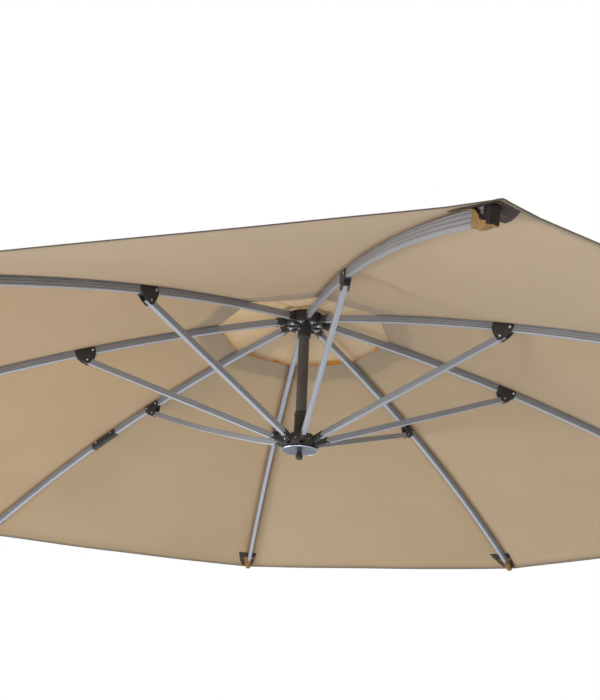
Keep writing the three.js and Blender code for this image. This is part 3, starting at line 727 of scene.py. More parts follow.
def shieldOutline():
    top = rib["attachDrop"] + rib["height"] / 2 - bracket["lip"]
    shoulder = rib["attachDrop"] - rib["height"] / 4
    half, nose = bracket["half"], bracket["nose"]
    start = Vector((half, shoulder))
    bend = Vector((half - 0.008, 0.004))
    end = Vector((nose * 0.9, -nose * 0.44))
    curve = [start * (1 - t) ** 2 + bend * 2 * t * (1 - t) + end * t * t for t in (i / 8 for i in range(9))]
    arc = [Vector((nose * math.cos(a), nose * math.sin(a)))
           for a in (math.radians(-26 - 128 * i / 12) for i in range(1, 12))]
    left = [Vector((-p.x, p.y)) for p in reversed(curve)]
    corner = 0.005
    lid = [Vector((-half, top - corner)), Vector((-half + corner * 0.3, top - corner * 0.3)),
           Vector((-half + corner, top)), Vector((half - corner, top)),
           Vector((half - corner * 0.3, top - corner * 0.3)), Vector((half, top - corner))]
    return [tuple(p) for p in curve + arc + left + lid]


def makeBrackets():
    inner = rib["width"] / 2 + bracket["stand"]
    outline = shieldOutline()
    upright = Matrix.Rotation(math.pi / 2, 4, "X")  # the plate's thickness runs towards -Y
    for letter in letters:
        place = spokes[letter] @ Matrix.Translation((strutX, 0, strutZ)) @ Matrix.Rotation(strutSlope, 4,
                                                                                           "Y")
        bm = bmesh.new()
        for side in (inner + bracket["plate"], -inner):
            addPlate(bm, outline, bracket["plate"], Matrix.Translation((0, side, 0)) @ upright)
        roundOff(bm, 0.0007, 40)
        floor = rib["attachDrop"] - rib["height"] / 2 - bracket["seat"]
        addBox(bm, (-bracket["half"] + 0.001, -inner - 0.001, floor - bracket["web"]),
               (bracket["half"] - 0.001, inner + 0.001, floor))
        for side in (1, -1):
            face = side * (inner + bracket["plate"])
            boltSpot = (bracket["half"] - bracket["boltIn"], rib["attachDrop"])
            for spot, size in (((0, 0), bracket["boss"]), (boltSpot, bracket["endBoss"])):
                ring = [(size * 0.66, 0), (size * 0.70, 0.0009), (size * 0.94, 0.0009), (size, 0.0)]
                turn = Matrix.Rotation(-side * math.pi / 2, 4, "X")
                addLathe(bm, ring, Matrix.Translation((spot[0], face, spot[1])) @ turn, steps=24)
        setPiece(f"rib_bracket_{letter}_moulded", bm, f"rib_{letter}", *moulded,
                 [f"rib_bracket_{letter}"], place=place)

        bm = bmesh.new()
        outer = inner + bracket["plate"]
        for side in (1, -1):
            addBolt(bm, (0, side * outer, 0), (0, side, 0), 0.0034, 0.0016)
            for end in (-1, 1) if letter == jointedRib else (-1 if letter in "bc" else 1,):
                addBolt(bm, (end * (bracket["half"] - bracket["boltIn"]), side * outer, rib["attachDrop"]),
                        (0, side, 0), bracket["bolt"], 0.0020)
        setPiece(f"bracket_rivets_{letter}", bm, f"rib_{letter}", *polished, place=place)


splice = {"screwShare": 0.32, "screwLift": 0.004, "wall": 0.0022, "screw": 0.0042, "screwHeight": 0.0018}


def makeSplice():
    # the channel over the joint of the two-length rib, screwed through near its ends
    node = f"rib_{jointedRib}_splice"
    body = f"rib_{jointedRib}"
    refined(node, body, *moulded, 0.0008)
    bm = bmesh.new()
    cheek = rib["width"] / 2 + bracket["stand"] + splice["wall"]
    for share in (-splice["screwShare"], splice["screwShare"]):
        x, z, _ = ribPoint(rib["spliceCentre"] + share * rib["spliceLength"], splice["screwLift"])
        for side in (-1, 1):
            addBolt(bm, (x, side * cheek, z), (0, side, 0), splice["screw"], splice["screwHeight"])
    setPiece("splice_screws", bm, body, *polished, place=spokes[jointedRib])


makeRibs()
makeStruts()
makeBrackets()
makeSplice()
print("ribs, struts and brackets made")


# ---- canopy ----
canopy = {
    "ventAlong": 0.315 - 0.054, "rimAlong": 1.813 + 0.020, "lift": 0.0008, "thickness": 0.0010,
    "sag": 0.012, "bulge": 0.012, "rows": 34, "columns": 26, "seamRise": 0.0007, "hemDrop": 0.0009,
    "seamHalf": 0.007, "hem": 0.040, "ventHem": 0.014, "keep": 0.158,
    "tipOut": 0.010, "tipUp": 0.005, "tipHalf": 0.060, "overlapShadeAlong": 0.361,
}
panelHalf = math.pi / 8


def panelPoint(along, share, lift, sagDepth, spokeTurn):
    # a point of the panel: along the rib, share 0 on the rib to 1 (or -1) mid-panel, in the spoke's frame
    x, z, slope = ribPoint(along, rib["height"] / 2 + lift)
    reach = abs(share)
    middle = Vector((x * (1 + math.cos(2 * panelHalf)) / 2, x * math.sin(2 * panelHalf) / 2, z))
    spot = Vector((x, 0, z)).lerp(middle, reach)
    fall = sagDepth * (1 - (1 - reach) ** 2)
    spot.z -= fall * math.cos(slope)
    spot.x -= fall * math.sin(slope) * 0.6
    if share < 0:
        spot.y = -spot.y
    turned = Matrix.Rotation(spokeTurn, 3, "Z") @ spot
    free = min(1.0, reach * 5)
    near = math.exp(-((along - canopy["ventAlong"]) / 0.22) ** 2)
    ripple = noise.noise(Vector((turned.x * 19, turned.y * 19, 0.3))) * 0.0022 * near
    slow = noise.noise(Vector((turned.x * 3.1, turned.y * 3.1, 4.1))) * 0.0030
    spot.z += (ripple + slow) * free
    return spot


def gridSheet(bm, rows, columns, placeOf):
    # a grid of rows x columns points, each put where placeOf(row, column) says
    made = bmesh.ops.create_grid(bm, x_segments=rows - 1, y_segments=columns - 1, size=1.0)
    where = {}
    for vert in made["verts"]:
        row = round((vert.co.x + 1) / 2 * (rows - 1))
        column = round((vert.co.y + 1) / 2 * (columns - 1))
        where[vert] = (row, column)
    for vert, (row, column) in where.items():
        vert.co = placeOf(row, column)
    return where


def overlapShadeEdge(angle):
    # the vent cap's wavy hem gives the edge of a band of painted shade on the canopy's underside, where the
    # cap's second layer lies over the cloth
    around = Vector((math.cos(angle), math.sin(angle), 0))
    return canopy["overlapShadeAlong"] + 0.020 * noise.noise(around * 3.1) + 0.014 * noise.noise(around * 8.2)


def plainRim(row, column):
    return 1.0


def sheetPiece(name, grid, placeOf, mapOf, rimOf, thickness, place, body, finish, replaced, hemDrop=0.0,
               overlapShadeOf=None,
               joined=False):
    bm = bmesh.new()
    layer = bm.loops.layers.uv.new("cloth")
    rimLayer = bm.verts.layers.float.new("fromRim")
    overlapShadeLayer = bm.verts.layers.float.new("fromOverlapShade")
    where = gridSheet(bm, *grid, placeOf)
    for vert, (row, column) in where.items():
        vert[rimLayer] = rimOf(row, column)
        vert[overlapShadeLayer] = overlapShadeOf(row, column) if overlapShadeOf else 1.0
    for face in bm.faces:
        for loop in face.loops:
            loop[layer].uv = mapOf(*where[loop.vert])
    if joined:  # the grid's two ends meet, all the way round
        bmesh.ops.remove_doubles(bm, verts=bm.verts, dist=1e-6)
    bmesh.ops.recalc_face_normals(bm, faces=bm.faces)
    if sum(face.normal.z for face in bm.faces) > 0:
        bmesh.ops.reverse_faces(bm, faces=bm.faces)
    bmesh.ops.solidify(bm, geom=list(bm.faces), thickness=thickness)
    bmesh.ops.recalc_face_normals(bm, faces=bm.faces)
    bm.normal_update()
    if isinstance(finish, (list, tuple)):
        for face in bm.faces:
            face.material_index = 1 if face.normal.z < 0 else 0
    for vert in bm.verts:
        if hemDrop and vert.normal.z < -0.2 and vert[rimLayer] < canopy["hem"] + 0.0001:
            vert.co.z -= hemDrop
    bmesh.ops.transform(bm, matrix=place, verts=bm.verts)
    return setPiece(name, bm, body, finish, "canopy_cloth", replaced, smoothAngle=40, merge=False)


def foldIn(piece, place, keep):
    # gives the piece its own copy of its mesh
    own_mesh(piece)


def makeCanopy():
    inner = [canopy["ventAlong"], canopy["ventAlong"] + 0.004, canopy["ventAlong"] + canopy["ventHem"],
             canopy["ventAlong"] + canopy["ventHem"] + 0.0015]
    hemStart = canopy["rimAlong"] - canopy["hem"]
    count = canopy["rows"]
    rows = inner + [inner[-1] + (hemStart - 0.0015 - inner[-1]) * (i + 1) / count for i in range(count)]
    rows += [hemStart] + [hemStart + canopy["hem"] * (i + 1) / 3 for i in range(3)]
    half = canopy["columns"] // 2
    columns = 2 * half + 1

    for letter in letters:
        turn = turns[letter]

        def shareOf(row, column):
            along = rows[row]
            side = column - half
            if side == 0:
                return 0.0
            width = ribPoint(along, 0)[0] * math.sin(2 * panelHalf) / 2
            first, second = canopy["seamHalf"] / width, (canopy["seamHalf"] + 0.0015) / width
            steps = abs(side)
            share = first if steps == 1 else second + (1 - second) * (steps - 2) / (half - 2)
            return math.copysign(min(share, 1.0), side)

        def placeOf(row, column):
            along, share = rows[row], shareOf(row, column)
            reach = 1 - (1 - abs(share)) ** 2
            level = (along - canopy["ventAlong"]) / (canopy["rimAlong"] - canopy["ventAlong"])
            outer = max(0.0, (along - 1.3) / (canopy["rimAlong"] - 1.3)) ** 2
            tip = math.exp(-(share * ribPoint(along)[0] * math.tan(panelHalf) / canopy["tipHalf"]) ** 2)
            grow = canopy["bulge"] * reach * outer + canopy["tipOut"] * tip * outer
            depth = canopy["sag"] * math.sin(math.pi * min(1.0, 0.08 + 0.92 * level))
            rise = canopy["seamRise"] if abs(column - half) <= 1 else 0
            spot = panelPoint(along + grow, share, canopy["lift"] + rise, depth, turn)
            spot.z += canopy["tipUp"] * tip * outer
            return spot

        def mapOf(row, column):
            along, share = rows[row], shareOf(row, column)
            return (share * ribPoint(along, 0)[0] * math.sin(2 * panelHalf) / 2, along)

        def rimOf(row, column):
            return canopy["rimAlong"] - rows[row]

        def overlapShadeOf(row, column):
            return rows[row] - overlapShadeEdge(turn + shareOf(row, column) * panelHalf)

        spoke = spokes[letter]
        piece = sheetPiece(f"canopy_panel_{letter}", (len(rows), columns), placeOf, mapOf, rimOf,
                           canopy["thickness"], spoke, f"rib_{letter}", ["clothTop",
                                                                         "clothUnder"], ["canopy"],
                           canopy["hemDrop"], overlapShadeOf)
        foldIn(piece, spoke, canopy["keep"])
        inX, outX = ribPoint(rows[0])[0], ribPoint(rows[-1])[0]


opening = {"stand": 0.012, "least": 0.0022, "lean": 0.005, "seat": 0.008, "rows": 5, "columns": 25,
           "thickness": 0.0009}


def makeOpeningLitFrill():
    # an uneven frill of saturated orange cloth stands up at the opening's edge: painted light, the sunlit
    # cap seen through the gaps there
    half = opening["columns"] // 2
    for letter in letters:
        place = spokes[letter]
        turn = turns[letter]
        inX = ribPoint(canopy["ventAlong"], rib["height"] / 2 + canopy["lift"])[0]

        def tallAt(share):
            around = Vector((math.cos(turn + share * panelHalf), math.sin(turn + share * panelHalf), 3.7))
            tall = noise.noise(around * 5.3) * opening["stand"] * 2.6
            return max(opening["least"], min(opening["stand"], tall))

        def frillPoint(row, column):
            share, level = (column - half) / half, max(0, row - 1) / (opening["rows"] - 2)
            onTop = opening["seat"] if row == 0 else 0.0  # the first row is sewn down on the canopy
            spot = panelPoint(canopy["ventAlong"] + onTop, share, canopy["lift"], canopy["sag"] * 0.25, turn)
            tall = tallAt(share)
            spot.x += 0.0008 - opening["lean"] * level * tall / opening["stand"]
            spot.z += 0.0014 + tall * level
            return spot

        def frillMap(row, column):
            return (inX * math.sin((column - half) / half * panelHalf), row * 0.004)

        piece = sheetPiece(f"opening_lit_frill_{letter}", (opening["rows"], opening["columns"]), frillPoint,
                           frillMap, plainRim, opening["thickness"], place, f"rib_{letter}", "binding", [])
        foldIn(piece, place, canopy["keep"])
        mean = sum(tallAt((i - half) / half) for i in range(opening["columns"])) / opening["columns"]
        mean += opening["thickness"] + opening["seat"]


cap = {"hole": 0.024, "radius": 0.415, "top": 0.040, "fall": 0.098, "rows": 18, "columns": 17,
       "wave": 0.006, "pleat": 0.016, "thickness": 0.0010, "patchRadius": 0.105, "goreStart": 0.078,
       "patchLift": 0.0016, "patchRows": 7, "keep": 0.26, "waveGrowth": 2.2, "edgeStart": 0.8,
       "ruck": 0.004, "puff": 0.006, "edgeDrop": 0.006, "chordShare": 0.75}


def capPoint(radius, share, turn):
    # a point of the vent cap in the spoke's frame, share 0 on the rib to 1 (or -1) mid-panel
    level = (radius - cap["hole"]) / (cap["radius"] - cap["hole"])
    drop = cap["fall"] * (level * 0.93 + 0.07 * level * level)
    angle = turn + share * panelHalf
    wave = noise.noise(Vector((math.cos(angle) * 5.5, math.sin(angle) * 5.5, 1.7)))
    edge = max(0.0, (level - cap["edgeStart"]) / 0.2)
    lift = noise.noise(Vector((math.cos(angle) * radius * 16, math.sin(angle) * radius * 16,
                               2.2))) * cap["ruck"] * level
    pleat = noise.noise(Vector((math.cos(angle) * 6, math.sin(angle) * 6, 5.4 + 2 * level)))
    lift += cap["pleat"] * pleat * (1 - level) * min(1.0, 3 * level)
    puff = cap["puff"] * math.sin(math.pi * level) * abs(share) * (2 - abs(share))
    grown = radius + wave * cap["wave"] * cap["waveGrowth"] * edge
    chord = math.cos(panelHalf) / math.cos(panelHalf * (1 - abs(share)))
    flat = grown * (1 - (1 - chord) * cap["chordShare"])
    return Vector((flat * math.cos(share * panelHalf), flat * math.sin(share * panelHalf),
                   cap["top"] - drop - puff + lift - cap["edgeDrop"] * edge * (0.5 + wave)))


def makeVentCap():
    half = cap["columns"] // 2
    for letter in letters:
        spoke, turn = spokes[letter], turns[letter]

        def placeOf(row, column):
            radius = cap["goreStart"] + (cap["radius"] - cap["goreStart"]) * row / (cap["rows"] - 1)
            return capPoint(radius, (column - half) / half, turn)

        def mapOf(row, column):
            level = row / (cap["rows"] - 1)
            radius = cap["goreStart"] + (cap["radius"] - cap["goreStart"]) * level
            return (radius * math.sin((column - half) / half * panelHalf), radius)

        def rimOf(row, column):
            return cap["radius"] * (1 - row / (cap["rows"] - 1))

        piece = sheetPiece(f"vent_cap_panel_{letter}", (cap["rows"], cap["columns"]), placeOf, mapOf, rimOf,
                           cap["thickness"], spoke, f"rib_{letter}", "capCloth", ["vent_cap"])
        foldIn(piece, spoke, cap["keep"])

    # the round patch at the cap's middle, sewn over the gores' ends
    around = 8 * (cap["columns"] - 1)

    def patchReach(row):
        return cap["hole"] + (cap["patchRadius"] - cap["hole"]) * row / (cap["patchRows"] - 1)

    def patchPoint(row, column):
        angle = column / around * math.tau
        radius = patchReach(row)
        spoke = round(angle / (2 * panelHalf)) * 2 * panelHalf
        spot = capPoint(radius, (angle - spoke) / panelHalf, spoke)
        return Matrix.Rotation(spoke, 3, "Z") @ spot + Vector((0, 0, cap["patchLift"]))

    def patchMap(row, column):
        angle = column / around * math.tau
        radius = patchReach(row)
        return (radius * math.cos(angle), radius * math.sin(angle))

    patch = sheetPiece("vent_cap_patch", (cap["patchRows"], around + 1), patchPoint, patchMap, lambda row,
                       column: 1.0,
                       cap["thickness"], crownPlace, "crown", "capCloth", ["vent_cap"], joined=True)


pocket = {"start": 1.752, "lowEnd": 1.812, "topEnd": 1.770, "room": 0.0035, "flare": 0.016, "flap": 0.014,
          "pocketShadeStart": 1.720, "pocketShadeEnd": 1.830, "pocketShadeHalf": 0.060, "pocketShadeTip": 0.036,
          "pocketShadeShort": 0.55, "rows": 13, "columns": 29, "cutShare": 0.60, "keep": 0.45}


def makePockets():
    # a sleeve of canopy cloth holds each rib's end, painted darker and more orange as shade, and a
    # near-black sheet at each corner is painted shade of the pocket's opening
    half = rib["width"] / 2 + pocket["room"] * 0.6
    bottom = -rib["height"] / 2 - pocket["room"]
    top = rib["height"] / 2 + canopy["lift"] - 0.0008
    middle = pocket["columns"] // 2
    for letter in letters:
        place = spokes[letter]

        def sleevePoint(row, column):
            # round the section: under the rib, up a side, then out under the canopy
            level, side = row / (pocket["rows"] - 1), (column - middle) / middle
            reach = abs(side)
            climb = min(1.0, max(0.0, (reach - 0.26) / 0.36))
            out = max(0.0, (reach - 0.62) / 0.38)
            end = pocket["lowEnd"] + (pocket["topEnd"] - pocket["lowEnd"]) * climb ** 1.4
            along = pocket["start"] + (end - pocket["start"]) * level
            mouth = pocket["flare"] * level ** 1.6 * (1.0 if side > 0 else 0.35)
            across = (half + mouth * climb) * min(1.0, reach / 0.26) + pocket["flap"] * out
            up = bottom + (top - bottom) * climb
            crease = 0.0026 * math.sin(9 * level + 6 * side) * (1 - climb)
            crease += 0.0030 * math.sin(9 * climb + 7 * level)
            crease *= min(1.0, 2.5 * level)
            x, z, _ = ribPoint(along, min(top, up + crease * min(1.0, 3 * (1 - climb))))
            x -= across * math.tan(panelHalf) * climb
            return Vector((x, math.copysign(across, side) + crease * 0.5,
                           z - panelDrop(along, across) * climb - 0.0004))

        def sleeveMap(row, column):
            return (row * 0.0075, column * 0.005)

        sleeve = sheetPiece(f"rib_cuff_{letter}", (pocket["rows"], pocket["columns"]), sleevePoint,
                            sleeveMap,
                            plainRim, 0.0009, place, f"rib_{letter}", "cuff", [])

        # a near-black sheet just under the canopy at the corner: painted shade of the pocket's opening
        def pocketShadePoint(row, column):
            level, side = row / 10, (column - 8) / 8
            along = pocket["pocketShadeStart"] + (pocket["pocketShadeEnd"] - pocket["pocketShadeStart"]) * level
            wide = pocket["pocketShadeHalf"] + (pocket["pocketShadeTip"] - pocket["pocketShadeHalf"]) * level ** 1.5
            across = wide * side * (1.0 if side > 0 else pocket["pocketShadeShort"])
            ruck = 0.0010 * abs(math.sin(5 * side + 4 * level)) * min(1, 6 * (1 - abs(side)),
                                                                      6 * (1 - level))
            x, z, _ = ribPoint(along, top - 0.0016 - ruck)
            rise = canopy["tipUp"] * max(0.0, (along - 1.3) / (canopy["rimAlong"] - 1.3)) ** 2
            x -= abs(across) * math.tan(panelHalf)
            return Vector((x, across, z - panelDrop(along, across) + rise))

        def pocketShadeMap(row, column):
            return (column * 0.007, row * 0.011)

        lining = sheetPiece(f"tip_pocket_shade_{letter}", (11, 17), pocketShadePoint, pocketShadeMap, lambda row,
                            column: 1.0,
                            0.0008, place, f"rib_{letter}", "lining", [])
        for piece in (sleeve, lining):
            foldIn(piece, place, pocket["keep"])


def panelDrop(along, across):
    # how far the cloth has fallen below the rib's top at this distance from the rib
    share = min(1.0, abs(across) / (ribPoint(along)[0] * math.tan(panelHalf)))
    level = (along - canopy["ventAlong"]) / (canopy["rimAlong"] - canopy["ventAlong"])
    return canopy["sag"] * math.sin(math.pi * min(1.0, 0.08 + 0.92 * level)) * (1 - (1 - share) ** 2)


# ---- crown, centre tube and runner ----
def makeCrown():
    refined("crown_hub", "crown", *moulded, 0.0012)
    refined("crown_hinge_ring", "crown", *polished, 0.0004)
    plate = {"near": 0.0345, "nearHalf": 0.0042, "far": 0.0595, "farHalf": 0.0145, "thickness": 0.0014,
             "bolt": 0.050}
    plates, bolts = bmesh.new(), bmesh.new()
    for i in range(8):
        turn = Matrix.Rotation((i + 0.5) * math.pi / 4, 4, "Z")
        below = crownPlace @ turn @ Matrix.Translation((0, 0, -hub["below"] - plate["thickness"] - 0.0001))
        outline = [(plate["near"], -plate["nearHalf"]), (plate["far"], -plate["farHalf"]),
                   (plate["far"] + 0.0018, -plate["farHalf"] * 0.5), (plate["far"] + 0.0024, 0),
                   (plate["far"] + 0.0018, plate["farHalf"] * 0.5), (plate["far"], plate["farHalf"]),
                   (plate["near"], plate["nearHalf"])]
        addPlate(plates, outline, plate["thickness"], below)
        addBolt(bolts, below @ Vector((plate["bolt"], 0, 0)), (0, 0, -1), 0.0052, 0.0034)
        for side in (-1, 1):
            addBolt(bolts, below @ Vector((plate["far"] - 0.0045, side * (plate["farHalf"] - 0.0035), 0)),
                    (0, 0, -1), 0.0022, 0.0012)
    roundOff(plates, 0.0004, 50)
    setPiece("crown_ring_plates", plates, "crown", "disc", "bright_steel")
    setPiece("crown_bolts", bolts, "crown", *polished)

    top = -hub["below"] - 0.0003
    low = top - 0.040
    bm = bmesh.new()
    inner, outer = 0.0193, 0.024
    profile = [(inner, top), (outer - 0.001, top), (outer, top - 0.001), (outer, low + 0.0085),
               (outer - 0.0009, low + 0.0075), (outer - 0.0009, low + 0.0062), (outer, low + 0.0052),
               (outer, low + 0.0012), (outer - 0.0012, low), (inner, low)]
    addLathe(bm, profile, crownPlace)
    setPiece("crown_collar_turned", bm, "crown", *moulded, ["crown_collar"])
    bm = bmesh.new()
    for angle in (252, 72):
        out = Vector((math.cos(math.radians(angle)), math.sin(math.radians(angle)), 0))
        addBolt(bm, crownSpot + out * (outer - 0.0004) + Vector((0, 0, top - 0.012)), out, 0.0048, 0.0022)
    setPiece("collar_screws", bm, "crown", *polished)

    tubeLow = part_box("centre_tube")[0][2] - crownSpot.z
    bm = bmesh.new()
    addLathe(bm, [(0.017, hub["above"]), (0.019, hub["above"]), (0.019, tubeLow + 0.001), (0.018, tubeLow),
                  (0.017, tubeLow)], crownPlace, 72)
    setPiece("centre_tube_drawn", bm, "crown", "tubeCoat", "coated_alloy", ["centre_tube"])

    refined("hanger_post", "crown", *moulded, 0.0015)


def makeRunner():
    place = crownPlace @ Matrix.Translation((0, 0, runnerDrop))
    refined("runner", "runner", *moulded, 0.0011)
    refined("runner_hinge_ring", "runner", *polished, 0.0004)
    bottom = -runnerHub["below"] - runnerHub["gap"]
    bm = bmesh.new()
    radius = runnerHub["discRadius"]
    profile = [(0, bottom), (0.034, bottom), (0.034, bottom - 0.003), (radius - 0.003, bottom - 0.0032),
               (radius - 0.0006, bottom - 0.0040), (radius, bottom - 0.0056), (radius - 0.0008,
                                                                               bottom - 0.0074),
               (radius - 0.004, bottom - 0.0080), (0.030, bottom - 0.0074), (0.028, bottom - 0.0066),
               (0.016, bottom - 0.0066), (0.014, bottom - 0.0080), (0, bottom - 0.0080)]
    addLathe(bm, profile, place, runnerHub["discSteps"])
    setPiece("runner_disc_spun", bm, "runner", "disc", "bright_steel", ["runner_disc"])
    # a ring of lighter steel round the disc's edge: painted highlight on the rolled rim
    bm = bmesh.new()
    profile = [(radius - 0.0034, bottom - 0.0080), (radius - 0.0010, bottom - 0.0076),
               (radius - 0.0001, bottom - 0.0060),
               (radius + 0.0003, bottom - 0.0062), (radius - 0.0004, bottom - 0.0082), (radius - 0.0030,
                                                                                        bottom - 0.0088)]
    addLathe(bm, profile, place, runnerHub["discSteps"])
    setPiece("runner_disc_rim", bm, "runner", "rim", "bright_steel")
    low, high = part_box("pull_knob")
    tall, radius = high[2] - low[2], 0.012
    bm = bmesh.new()
    profile = [(0, 0.0), (radius * 0.62, 0.0), (radius * 0.86, 0.0012), (radius * 0.97, 0.0036),
               (radius, 0.007),
               (radius, 0.0105), (radius * 0.93, 0.0112), (radius * 0.93, 0.0124), (radius, 0.0132),
               (radius * 0.98, 0.0165), (radius * 0.84, 0.0200), (radius * 0.70, 0.0225), (radius * 0.70,
                                                                                           tall), (0, tall)]
    addLathe(bm, profile, Matrix.Translation((crownSpot.x, crownSpot.y, low[2])), 48)
    setPiece("pull_knob_turned", bm, "runner", *moulded, ["pull_knob"])
    bm = bmesh.new()
    for z in runnerHub["ringTops"]:
        near, far = runnerHub["sleeveRadius"], 0.0226
        ring = [(near, z), (far, z - 0.0004), (far, z - 0.0022), (near, z - 0.0026)]
        addLathe(bm, ring, place, 64)
    setPiece("runner_sleeve_rings", bm, "runner", *moulded)


# ---- boom, mast and base ----
def jointSpot(name):
    return Vector(next(j["pos_m"] for j in frame["joints"] if j["name"] == name))


def roundedRect(width, height, corner, steps=5):
    # (across, up) pairs, anticlockwise
    points = []
    for cx, cy, start in ((1, 1, 0), (-1, 1, 90), (-1, -1, 180), (1, -1, 270)):
        for i in range(steps + 1):
            angle = math.radians(start + 90 * i / steps)
            points.append((cx * (width / 2 - corner) + corner * math.cos(angle),
                           cy * (height / 2 - corner) + corner * math.sin(angle)))
    return points


def addLoft(bm, outlines):
    # closed outlines of the same count, joined one to the next, with the ends closed
    loops = []
    for outline in outlines:
        verts = [bm.verts.new(p) for p in outline]
        loops.append([bm.edges.new((verts[i], verts[(i + 1) % len(verts)])) for i in range(len(verts))])
    for first, second in zip(loops, loops[1:]):
        bmesh.ops.bridge_loops(bm, edges=first + second)
    for end in (loops[0], loops[-1]):
        bmesh.ops.edgeloop_fill(bm, edges=end)


boom = {"slope": math.radians(17), "width": 0.040, "height": 0.070, "root": 0.030, "tip": 0.052,
        "taper": 0.12,
        "rootBack": 0.012, "endShort": 0.070, "corner": 0.007}


def boomDepth(share):
    if share < boom["taper"]:
        return boom["root"] + (boom["height"] - boom["root"]) * max(share, 0) / boom["taper"]
    return boom["height"] + (boom["tip"] - boom["height"]) * (share - boom["taper"]) / (1 - boom["taper"])


def pivotCap(bm, spot, reach, radius):
    # a pin's domed head and washer on each side
    for side in (-1, 1):
        at = Vector(spot) + Vector((0, side * reach, 0))
        addRod(bm, radius * 1.45, at, at + Vector((0, side * 0.0016, 0)), segments=32)
        addBolt(bm, at + Vector((0, side * 0.0016, 0)), (0, side, 0), radius, 0.0042)


def makeBoom():
    start, tilt = jointSpot("slider_travel"), jointSpot("canopy_tilt")
    middle, stayTop = jointSpot("boom_swing"), jointSpot("boom_lift")
    length = (tilt - start).length
    place = Matrix.Translation(start) @ Matrix.Rotation(-boom["slope"], 4, "Y")
    steps = [-boom["rootBack"], 0.0, 0.06, 0.12, 0.18, boom["taper"] * length, 0.3]
    steps += [0.3 + (length - boom["endShort"] - 0.3) * i / 8 for i in range(1, 9)]
    outlines = []
    for along in steps:
        tall = boomDepth(along / length)
        outlines.append([place @ Vector((along, u, v)) for u,
                         v in roundedRect(boom["width"], tall, boom["corner"])])
    bm = bmesh.new()
    addLoft(bm, outlines)
    setPiece("boom_tube_drawn", bm, "boom", "tubeCoat", "coated_alloy", ["boom_tube"])
    refined("boom_fork", "boom", *moulded, 0.0018)
    refined("boom_stay", "stay", "coat", "coated_alloy", 0.0012)
    bm = bmesh.new()
    pivotCap(bm, tilt, 0.0236, 0.009)
    pivotCap(bm, start, 0.0256, 0.009)
    for along in (0.018, 0.044):
        for side in (-1, 1):
            spot = place @ Vector((length - boom["endShort"] - along, side * (boom["width"] / 2 - 0.0002),
                                   0))
            addBolt(bm, spot, (0, side, 0), 0.0042, 0.0018)
    setPiece("boom_pins", bm, "boom", *polished)
    bm = bmesh.new()
    pivotCap(bm, middle, 0.0256, 0.009)
    pivotCap(bm, stayTop, 0.0256, 0.009)
    setPiece("stay_pins", bm, "stay", *polished)
    # a stop collar round the boom where the stay joins it
    bm = bmesh.new()
    along = (middle - start).length + 0.055
    tall = boomDepth(along / length)
    outlines = []
    for x, grow in ((0, 0.0010), (0.001, 0.0044), (0.019, 0.0044), (0.020, 0.0010)):
        outline = roundedRect(boom["width"] + grow, tall + grow, boom["corner"])
        outlines.append([place @ Vector((along + x, u, v)) for u, v in outline])
    addLoft(bm, outlines)
    setPiece("boom_stop", bm, "boom", *moulded)


mast = {"depth": 0.070, "width": 0.050, "corner": 0.012, "channel": 0.0022, "channelHalf": 0.006}


def mastSection():
    # rounded rectangle with a shallow channel down the middle of each side face
    points, cut = roundedRect(mast["depth"], mast["width"], mast["corner"], 6), []
    for i, point in enumerate(points):
        after = points[(i + 1) % len(points)]
        cut.append(point)
        if abs(point[1] - after[1]) < 1e-9 and abs(point[0] - after[0]) > 0.02:
            way = 1 if after[0] > point[0] else -1
            inward = -math.copysign(mast["channel"], point[1])
            half = mast["channelHalf"]
            cut += [(-way * half, point[1]), (-way * half * 0.75, point[1] + inward),
                    (way * half * 0.75, point[1] + inward), (way * half, point[1])]
    return cut


